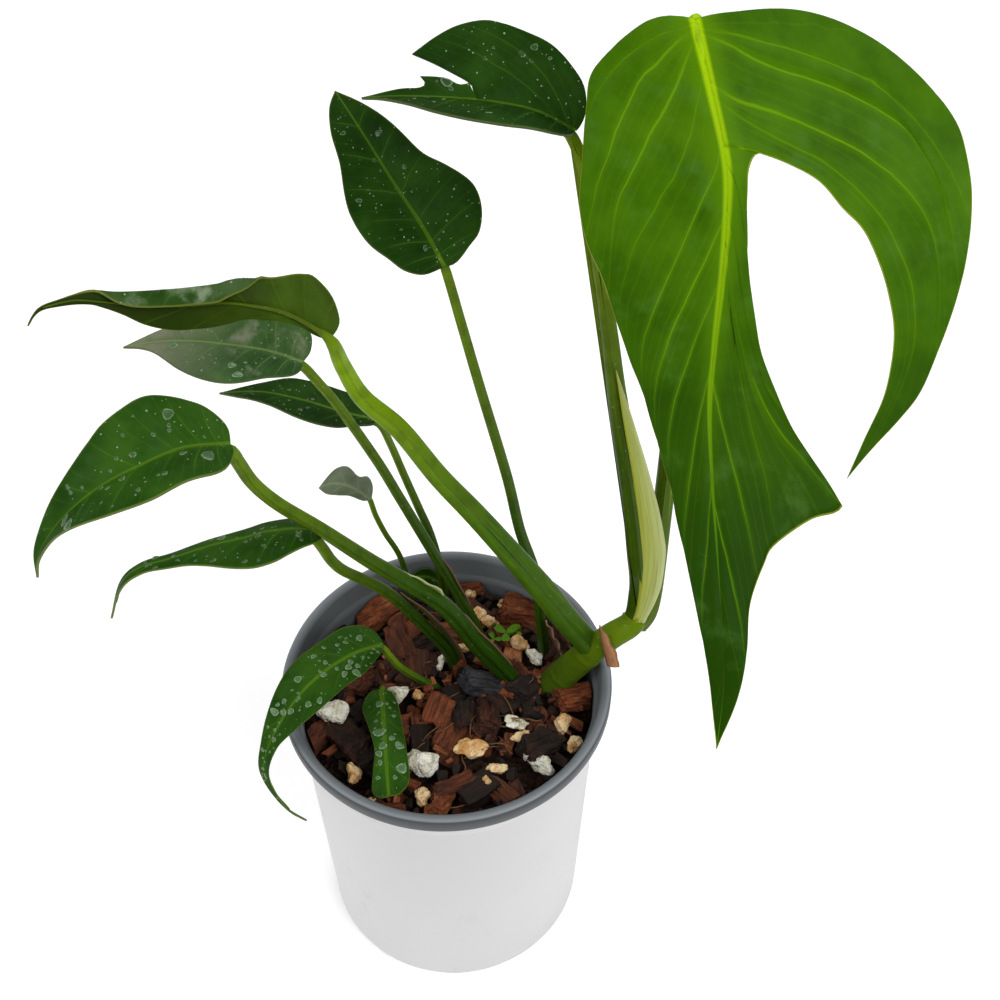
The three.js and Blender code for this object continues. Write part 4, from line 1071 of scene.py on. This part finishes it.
potShape = {
    "rimRadius": 64, "height": 150, "wallTop": 58.9, "wallFoot": 55.9, "foot": 54.5, "footHeight": 3.2,
    "wall": 1.4, "lip": 7, "ledge": 13, "floor": 4.6, "pad": 12,
    "notches": 8, "notchTurn": 13, "notchWidth": 9, "notchHeight": 3,
    "drains": 4, "drainRadius": 4, "drainReach": 30, "steps": 240,
}


# The pot's outline as radius and height, from the middle of its underside round to the middle of its floor
def potProfile():
    p = potShape
    ledge, lip, top, rim = p["height"] - p["ledge"], p["height"] - p["lip"], p["height"], p["rimRadius"]
    pad, foot, step, floor = p["pad"], p["foot"], p["footHeight"], p["floor"]
    low, high = p["wallFoot"], p["wallTop"]
    under = [(0, 0), (pad, 0), (pad + 1, floor - 2), (foot - 6, floor - 2), (foot - 5, 0)]
    outside = [(foot - 0.4, 0), (foot, 0.4), (foot + 0.15, step - 0.3), (foot + 0.4, step),
               (low, step + 0.6), (low + 0.05, step + 1.4), (high - 0.25, ledge - 6.4),
               (high + 0.1, ledge - 5.9), (high - 0.1, ledge - 5.2), (high, ledge - 0.3),
               (high + 0.8, ledge + 0.4), (high + 1.3, ledge + 1.4), (high + 1.7, lip)]
    lipRing = [(rim - 1.2, lip), (rim - 0.4, lip + 0.3), (rim, lip + 1.2), (rim, top - 1.8),
               (rim - 0.5, top - 0.5), (rim - 1.7, top), (high + 2.6, top), (high + 1.4, top - 0.5),
               (high + 0.7, top - 1.8)]
    inside = [(high + 0.1, ledge + 4), (high - 0.3, ledge + 3), (high - 1.3, ledge + 2.2),
              (high - p["wall"], ledge), (low - p["wall"], step + 5), (foot - 3, floor), (0, floor)]
    return under + outside + lipRing + inside


# A line of radii and heights in millimetres, turned around the z axis
def turned(profile, steps):
    bm = bmesh.new()
    verts = [bm.verts.new((r * mm, 0, z * mm)) for r, z in profile]
    edges = [bm.edges.new(pair) for pair in zip(verts, verts[1:])]
    bmesh.ops.spin(bm, geom=verts + edges, angle=2 * math.pi, steps=steps, axis=(0, 0, 1), cent=(0, 0, 0),
                   use_merge=True)
    bmesh.ops.remove_doubles(bm, verts=bm.verts, dist=1e-6)
    return bm


def potPiece():
    p = potShape
    bm = turned(potProfile(), p["steps"])
    bmesh.ops.recalc_face_normals(bm, faces=bm.faces)
    whiteTop = (p["height"] - p["lip"]) * mm
    for face in bm.faces:
        middle = face.calc_center_median()
        outward = face.normal.dot(Vector((middle.x, middle.y, 0)).normalized()) > 0.02
        low = middle.z < (p["floor"] - 0.5) * mm
        face.material_index = 0 if low or (outward and middle.z < whiteTop - 1e-5) else 1
    every = 360 / p["notches"]
    for v in bm.verts:
        turn = math.degrees(math.atan2(v.co.x, -v.co.y)) - p["notchTurn"]
        off = abs((turn + every / 2) % every - every / 2)
        inNotch = math.radians(off) * p["foot"] < p["notchWidth"] / 2
        if math.hypot(v.co.x, v.co.y) > (p["foot"] - 5.5) * mm and v.co.z < 0.6 * mm and inNotch:
            v.co.z = (p["notchHeight"] - 0.6) * mm
    pot = newPiece("pot_shell", bm, [potWhite, potGrey], ["pot"])
    drill = bmesh.new()
    for i in range(p["drains"]):
        turn = i * 2 * math.pi / p["drains"]
        place = Matrix.Translation(Vector((math.cos(turn), math.sin(turn), 0)) * p["drainReach"] * mm)
        bmesh.ops.create_cone(drill, cap_ends=True, segments=32, radius1=p["drainRadius"] * mm,
                              radius2=p["drainRadius"] * mm, depth=p["floor"] * 3 * mm, matrix=place)
    cutter = putInScene("drill", meshOf("drill", drill))
    cut = pot.modifiers.new("drains", "BOOLEAN")
    cut.object = cutter
    cut.operation = "DIFFERENCE"
    cut.solver = "EXACT"
    bpy.context.view_layer.update()
    drilled = bpy.data.meshes.new_from_object(pot.evaluated_get(bpy.context.evaluated_depsgraph_get()))
    pot.modifiers.clear()
    pot.data = drilled
    bpy.data.objects.remove(cutter)
    return pot


def potMaterial(name, base, rough, smudges, paintedRimShadeAndHighlight=False):
    look = Look(name, Specular_IOR_Level=0.4)
    place = look.place()
    cloudy = look.noise(place, 14, 4, 0.6)
    height = look.split(place)[2]
    tone = look.mix(cloudy, rgb(*base), rgb(*tint(base, 0.94)))
    stain = look.over(look.noise(look.moved(place, (1, 1, 0.6)), 42, 6, 0.7), 0.6, 0.8)
    smudge = look.times(stain, smudges)
    tone = look.layer(tone, smudge, look.under(height, 0.03, 0.13), tint(base, 0.55))
    scuff = look.over(look.noise(look.moved(place, (60, 60, 60)), 1.0, 6, 0.75), 0.64, 0.78)
    lowScuff = look.times(scuff, look.under(height, 0.004, 0.03))
    tone = look.layer(tone, lowScuff, smudges, tint(base, 0.45))
    specks = look.cells(place, 120)
    size = look.times(look.split(specks["Color"])[0], 0.05)
    dot = look.math("LESS_THAN", specks["Distance"], size)
    tone = look.layer(tone, dot, 0.4, tint(base, 0.4))
    if paintedRimShadeAndHighlight:
        # Painted shade on the rim's outer side, below a painted highlight: a light line along its edge
        rim = potShape["rimRadius"] * mm
        across = look.split(place)
        squares = look.plus(look.times(across[0], across[0]), look.times(across[1], across[1]))
        reach = look.math("SQRT", squares)
        outer = look.over(reach, rim - 0.7 * mm, rim - 0.3 * mm)
        edge = look.times(look.over(reach, rim - 2.2 * mm, rim - 1.2 * mm),
                          look.under(reach, rim - 0.7 * mm, rim - 0.3 * mm))
        # The painted highlight along the rim's edge
        tone = look.layer(tone, edge, 0.5, tint(base, 1.8))
        # The painted shade on the rim's outer side
        tone = look.layer(tone, outer, 0.9, tint(base, 0.3))
    scratch = look.noise(look.moved(place, (260, 260, 20)), 1.0, 3, 0.7)
    roughness = look.plus(look.times(cloudy, 0.16), rough)
    grain = look.plus(scratch, look.noise(place, 700, 2))
    return look.finish(tone, roughness, look.bump(grain, 0.06, 0.0004))


potWhite = potMaterial("pot_white", (0.6, 0.6, 0.6), 0.4, 0.5)
potGrey = potMaterial("pot_grey", (0.125, 0.138, 0.15), 0.4, 0.3, paintedRimShadeAndHighlight=True)
potPiece()
print("pot")


# Potting mix: a bed of crumbs, bark chips, charcoal, fibres, pumice and tan stones

mixShape = {
    "height": 131, "edge": 53.5, "chips": 210, "crumbs": 420, "fibres": 46, "seed": 11,
    "bed": [(0, 5), (51, 5), (53.6, 9), (56.8, 126), (57, 129)], "bedSteps": 96, "bedRings": 22, "ring": 2.4,
    # Big pieces of bark: x, y, length, width, depth, turn, and shade from black 0 to red brown 1
    "bark": [[-29, 45, 19, 13, 10, 0.4, 0.85], [52, 1, 17, 10, 8, 0.3, 0.8], [-20, 26, 18, 11, 9, 1.9, 0.6],
             [-3, -6, 13, 10, 8, 1.2, 0.75], [6, -8, 12, 9, 9, 1.7, 0.3], [15, -9, 12, 9, 9, 1.5, 0.45],
             [-38, -19, 19, 11, 8, 2.3, 0.35], [-50, -18, 17, 7, 7, 1.2, 0.65], [36, -22, 14, 11, 9, 0.6, 0.25],
             [29, 44, 16, 12, 9, 0.2, 0.8], [33, 51, 13, 8, 7, 2.6, 0.7], [-17, 35, 15, 11, 9, 0.9, 0.7],
             [8, 57, 13, 8, 6, 0.1, 0.8], [-40, 10, 14, 10, 8, 2.8, 0.6], [-25, -27, 16, 9, 8, 0.3, 0.15],
             [2, -40, 17, 5, 5, 0.5, 0.6], [20, -42, 15, 6, 5, 2.4, 0.55], [-2, -47, 13, 7, 6, 1.3, 0.85],
             [30, 5, 12, 9, 7, 0.9, 0.2], [43, 24, 13, 9, 7, 1.1, 0.4], [-9, 27, 12, 8, 7, 0.4, 0.3]],
    "charcoal": [[14, 6, 16, 10, 7, 0.2, 0.5]],
    # Stones: x, y, length, width
    "pumice": [[-46, -7, 19, 15], [-8, -30, 21, 18], [-20, 1, 18, 12], [26, -12, 19, 8], [32, -31, 25, 13],
               [-4, 16, 9, 11], [35, 19, 12, 8]],
    "tan": [[9, -25, 21, 13], [-9, -45, 12, 10], [-34, -35, 13, 11], [46, -12, 11, 12], [49, -22, 10, 10],
            [29, -19, 13, 9], [19, -32, 10, 11], [12, 42, 14, 10], [-3, 46, 10, 8], [17, 38, 13, 9],
            [8, 52, 10, 8], [23, 47, 10, 8], [29, 26, 13, 9], [-12, 1, 9, 8], [-24, 31, 9, 8], [14, -7, 9, 7],
            [-27, -47, 7, 6], [16, -38, 6, 8], [5, 24, 8, 6]],
}


def bedPiece():
    p = mixShape
    bm = turned(p["bed"], p["bedSteps"])
    bmesh.ops.holes_fill(bm, edges=[e for e in bm.edges if e.is_boundary])
    low = (p["height"] - 3) * mm
    for _ in range(p["bedRings"]):
        cap = [f for f in bm.faces if min(v.co.z for v in f.verts) > low and len(f.verts) > 4]
        if not cap:
            break
        bmesh.ops.inset_region(bm, faces=cap, thickness=p["ring"] * mm, use_even_offset=True)
    bmesh.ops.recalc_face_normals(bm, faces=bm.faces)
    for v in bm.verts:
        if v.co.z > low and math.hypot(v.co.x, v.co.y) < 56 * mm:
            v.co.z += noise.noise(v.co * 130) * 2.5 * mm
    return newPiece("mix_bed", bm, [bedLook], ["potting_mix"])


# Many chips or stones in one piece. Each row is x, y, z, length, width, depth, turn, shade.
def chunksPiece(name, rows, look, form):
    randomly = random.Random(form["seed"])
    whole = bmesh.new()
    grain = whole.verts.layers.float_vector.new("grain")
    tintLayer = whole.verts.layers.float.new("tint")
    for x, y, z, length, width, depth, turn, shade in rows:
        bm = bmesh.new()
        if form.get("round"):
            verts = []
            for _ in range(form["points"]):
                p = Vector([randomly.gauss(0, 1) for _ in range(3)]).normalized() * randomly.uniform(0.75, 1)
                verts.append(bm.verts.new((p.x * length / 2, p.y * width / 2, p.z * depth / 2)))
            made = bmesh.ops.convex_hull(bm, input=verts)
            inner = set(made["geom_interior"]) | set(made["geom_unused"])
            loose = [g for g in inner if isinstance(g, bmesh.types.BMVert) and g.is_valid]
            bmesh.ops.delete(bm, geom=loose, context="VERTS")
        else:
            bmesh.ops.create_cube(bm, size=1)
            bmesh.ops.scale(bm, vec=(length, width, depth), verts=bm.verts)
            for v in bm.verts:
                v.co += Vector([randomly.uniform(-0.17, 0.17) * size for size in (length, width, depth)])
            bmesh.ops.bevel(bm, geom=bm.edges[:], offset=0.09 * min(width, depth), offset_type="OFFSET",
                            segments=1, profile=0.5, affect="EDGES", material=-1, clamp_overlap=True)
        bmesh.ops.triangulate(bm, faces=bm.faces)
        for _ in range(form["cuts"]):
            bmesh.ops.subdivide_edges(bm, edges=bm.edges[:], cuts=1, use_grid_fill=True)
            if form.get("round"):
                bmesh.ops.smooth_vert(bm, verts=bm.verts, factor=0.5, use_axis_x=True, use_axis_y=True,
                                      use_axis_z=True)
        bmesh.ops.recalc_face_normals(bm, faces=bm.faces)
        shift = Vector([randomly.uniform(-50, 50) for _ in range(3)])
        bm.normal_update()
        for v in bm.verts:
            coarse = noise.noise(v.co * form["lumpScale"] + shift) * form["lump"]
            flakes = Vector((v.co.x * 0.12, v.co.y * 0.9, v.co.z * 1.1))
            layered = noise.noise(flakes + shift) * form["layers"]
            fineGrain = noise.noise(v.co * 1.6 + shift) * form.get("pits", 0)
            v.co += v.normal * (coarse + layered + fineGrain)
        leanings = Euler((randomly.uniform(-0.45, 0.45), randomly.uniform(-0.45, 0.45), turn))
        copies = {}
        for v in bm.verts:
            local = v.co.copy()
            v.co.rotate(leanings)
            spot = v.co + Vector((x, y, z))
            beyond = math.hypot(spot.x, spot.y) / form["within"]
            if beyond > 1:
                spot.x, spot.y = spot.x / beyond, spot.y / beyond
            copies[v] = whole.verts.new(spot * mm)
            copies[v][grain] = (local + shift) * mm
            copies[v][tintLayer] = shade
        for f in bm.faces:
            whole.faces.new([copies[v] for v in f.verts])
        bm.free()
    return newPiece(name, whole, [look], ["potting_mix"], smooth=bool(form.get("round")))


def fibresPiece():
    randomly = random.Random(mixShape["seed"] + 3)
    bm = bmesh.new()
    bm.loops.layers.uv.new("tube")
    for _ in range(mixShape["fibres"]):
        reach, turn = 50 * math.sqrt(randomly.random()), randomly.uniform(0, 2 * math.pi)
        x, y = reach * math.cos(turn), reach * math.sin(turn)
        way, length = randomly.uniform(0, 2 * math.pi), randomly.uniform(5, 15)
        path = []
        for share in (-0.5, -0.15, 0.2, 0.5):
            bend = randomly.uniform(-1.2, 1.2)
            path.append([x + math.cos(way) * length * share - math.sin(way) * bend,
                         y + math.sin(way) * length * share + math.cos(way) * bend,
                         mixShape["height"] + randomly.uniform(3, 6)])
        tube(bm, path, [0.22, 0.28, 0.16], (0, 0, 1), None, 5, 2.4)
    closeTubes(bm)
    return newPiece("mix_fibres", bm, [fibreLook], ["potting_mix"])


def barkMaterial(name, stops, rough, fleck):
    look = Look(name, Specular_IOR_Level=0.22)
    grain = look.add("ShaderNodeAttribute", attribute_name="grain").outputs["Vector"]
    shade = look.add("ShaderNodeAttribute", attribute_name="tint").outputs["Fac"]
    fibre = look.noise(look.moved(grain, (110, 800, 800)), 1.0, 6, 0.7)
    blotch = look.noise(grain, 150, 5, 0.6)
    base = look.ramp(look.plus(shade, look.times(look.math("SUBTRACT", blotch, 0.5), 0.7)), stops)
    tone = look.mix(look.over(fibre, 0.36, 0.6), look.mix(0.7, base, rgb(0.008, 0.005, 0.004)), base)
    tone = look.layer(tone, look.over(fibre, 0.62, 0.75), 0.5, fleck)
    return look.finish(tone, rough, look.bump(look.plus(fibre, look.times(blotch, 0.6)), 0.9, 0.0012))


def stoneMaterial(name, light, dark):
    look = Look(name, Roughness=0.85, Specular_IOR_Level=0.2)
    place = look.place()
    pits = look.cells(place, 700)["Distance"]
    cloudy = look.noise(place, 120, 5, 0.65)
    stain = look.noise(place, 60, 4, 0.6)
    tone = look.mix(look.over(cloudy, 0.36, 0.6), rgb(*dark), rgb(*light))
    tone = look.layer(tone, look.over(stain, 0.55, 0.75), 0.5, tint(dark, 0.8))
    tone = look.layer(tone, look.under(pits, 0.1, 0.3), 0.5, tint(dark, 0.4))
    return look.finish(tone, None, look.bump(look.plus(look.times(pits, 0.7), cloudy), 0.9, 0.0012))


def bedMaterial():
    look = Look("mix_crumbs", Roughness=0.9, Specular_IOR_Level=0.1)
    place = look.place()
    crumbs = look.cells(place, 420)
    tone = look.mix(look.split(crumbs["Color"])[0], rgb(0.006, 0.004, 0.003), rgb(0.035, 0.016, 0.01))
    height = look.plus(crumbs["Distance"], look.noise(place, 500, 4))
    return look.finish(tone, None, look.bump(height, 1.0, 0.002))


bedLook = bedMaterial()
bedPiece()
barkStops = [(0.0, (0.007, 0.005, 0.004)), (0.3, (0.022, 0.011, 0.007)), (0.6, (0.1, 0.028, 0.01)),
             (0.85, (0.24, 0.06, 0.018)), (1.0, (0.36, 0.13, 0.05))]
barkLook = barkMaterial("bark_brown", barkStops, 0.7, (0.3, 0.13, 0.06))
charcoalStops = [(0.0, (0.008, 0.008, 0.009)), (1.0, (0.07, 0.07, 0.078))]
charcoalLook = barkMaterial("charcoal", charcoalStops, 0.5, (0.16, 0.16, 0.17))
fibreLook = plainEdge("fibre_brown", (0.16, 0.075, 0.03))
chipsRandom = random.Random(mixShape["seed"])
named = mixShape["pumice"] + mixShape["tan"] + mixShape["bark"] + mixShape["charcoal"]
golden = math.pi * (3 - math.sqrt(5))


# Chips spread evenly over the mix, in the room that the pieces with a place of their own leave
def scattered(count, smallest, largest, keep, height):
    rows = []
    for i in range(count):
        r = 54.5 * math.sqrt((i + 0.5) / count)
        x = r * math.cos(i * golden) + chipsRandom.uniform(-2.5, 2.5)
        y = r * math.sin(i * golden) + chipsRandom.uniform(-2.5, 2.5)
        length = smallest + (largest - smallest) * chipsRandom.random() ** 2
        ranges = ((0.45, 0.75), (0.35, 0.6), (0, math.pi), (0, 1), height)
        width, depth, turn, shade, lift = [chipsRandom.uniform(*pair) for pair in ranges]
        crowded = any(math.hypot(row[0] - x, row[1] - y) < keep * row[2] for row in named)
        if crowded or math.hypot(x, y) > mixShape["edge"]:
            continue
        rows.append((x, y, mixShape["height"] + lift, length, length * width, length * depth, turn, shade ** 1.3))
    return rows


chipForm = {"seed": 5, "within": 56.8, "cuts": 1, "lump": 0.5, "lumpScale": 0.35, "layers": 0.9}
crumbForm = {"seed": 6, "within": 56.6, "cuts": 0, "lump": 0.3, "lumpScale": 0.5, "layers": 0.3}
barkForm = {"seed": 7, "within": 56.7, "cuts": 3, "lump": 0.9, "lumpScale": 0.25, "layers": 1.3, "pits": 0.25}
stoneForm = {"round": True, "within": 56.7, "points": 13, "cuts": 3, "lump": 1.5, "lumpScale": 0.33,
             "layers": 0.5, "pits": 0.35}


def onMix(rows, lift):
    return [(x, y, mixShape["height"] + lift, *rest) for x, y, *rest in rows]


# Stones on the mix, each as deep as a share of its width, and turned a little more or less than the last
def stonesOnMix(rows, lift, depth, most, pace):
    return [(x, y, mixShape["height"] + lift, long, wide, wide * depth, most * math.sin(pace * i), 0.5)
            for i, (x, y, long, wide) in enumerate(rows)]


chunksPiece("bark_chips", scattered(mixShape["chips"], 7, 15, 0.42, (-2, 3)), barkLook, chipForm)
chunksPiece("bark_crumbs", scattered(mixShape["crumbs"], 2.5, 6, 0.3, (1, 4)), barkLook, crumbForm)
chunksPiece("bark_large", onMix(mixShape["bark"], 3), barkLook, barkForm)
chunksPiece("charcoal_pieces", onMix(mixShape["charcoal"], 4), charcoalLook, {**barkForm, "seed": 12})
fibresPiece()
pumiceLook = stoneMaterial("pumice_white", (0.8, 0.78, 0.68), (0.52, 0.48, 0.34))
tanLook = stoneMaterial("stone_tan", (0.8, 0.6, 0.34), (0.5, 0.25, 0.08))
pumiceRows = stonesOnMix(mixShape["pumice"], 4.5, 0.85, 0.5, 3)
chunksPiece("pumice_stones", pumiceRows, pumiceLook, {**stoneForm, "seed": 8})
tanRows = stonesOnMix(mixShape["tan"], 4, 0.8, 0.6, 2)
chunksPiece("tan_stones", tanRows, tanLook, {**stoneForm, "seed": 9})
print("mix")


# Floor, light and camera

floorSize = 6
lights = {
    # place, size, power
    "key": ((0.85, -0.75, 1.35), 1.1, 17),
    "fill": ((-1.1, -0.6, 1.3), 1.2, 11),
    "back": ((0.1, 1.2, 1.5), 1.2, 10),
}
lightTarget = Vector((0, 0, 0.2))
worldStrength = 0.4
cameraPlace = (0.0206, -0.2943, 0.5649)
cameraPitch = 43  # degrees up from straight down
cameraLens = 46.8


floorMesh = bmesh.new()
bmesh.ops.create_grid(floorMesh, x_segments=1, y_segments=1, size=floorSize)
floorData = meshOf("floor", floorMesh)
floorLook = Look("floor_white", Roughness=0.9, Emission_Color=rgb(1, 1, 1), Emission_Strength=0.2)
floorData.materials.append(floorLook.finish(rgb(0.93, 0.93, 0.93)))
putInScene("floor", floorData)

for name, (place, size, power) in lights.items():
    data = bpy.data.lights.new(name, "AREA")
    data.shape = "DISK"
    data.size = size
    data.energy = power
    light = putInScene(name, data)
    light.location = place
    light.rotation_euler = (lightTarget - Vector(place)).to_track_quat("-Z", "Y").to_euler()

world = bpy.data.worlds.new("studio")
world.use_nodes = True
background = world.node_tree.nodes["Background"]
background.inputs["Color"].default_value = rgb(1, 1, 1)
background.inputs["Strength"].default_value = worldStrength
bpy.context.scene.world = world
bpy.context.scene.view_settings.view_transform = "Standard"

camera = putInScene("camera", bpy.data.cameras.new("camera"))
camera.location = cameraPlace
camera.rotation_euler = (math.radians(cameraPitch), 0, 0)
camera.data.lens = cameraLens
camera.data.sensor_width = 36
camera.data.clip_start = 0.01
bpy.context.scene.camera = camera
print("stage")
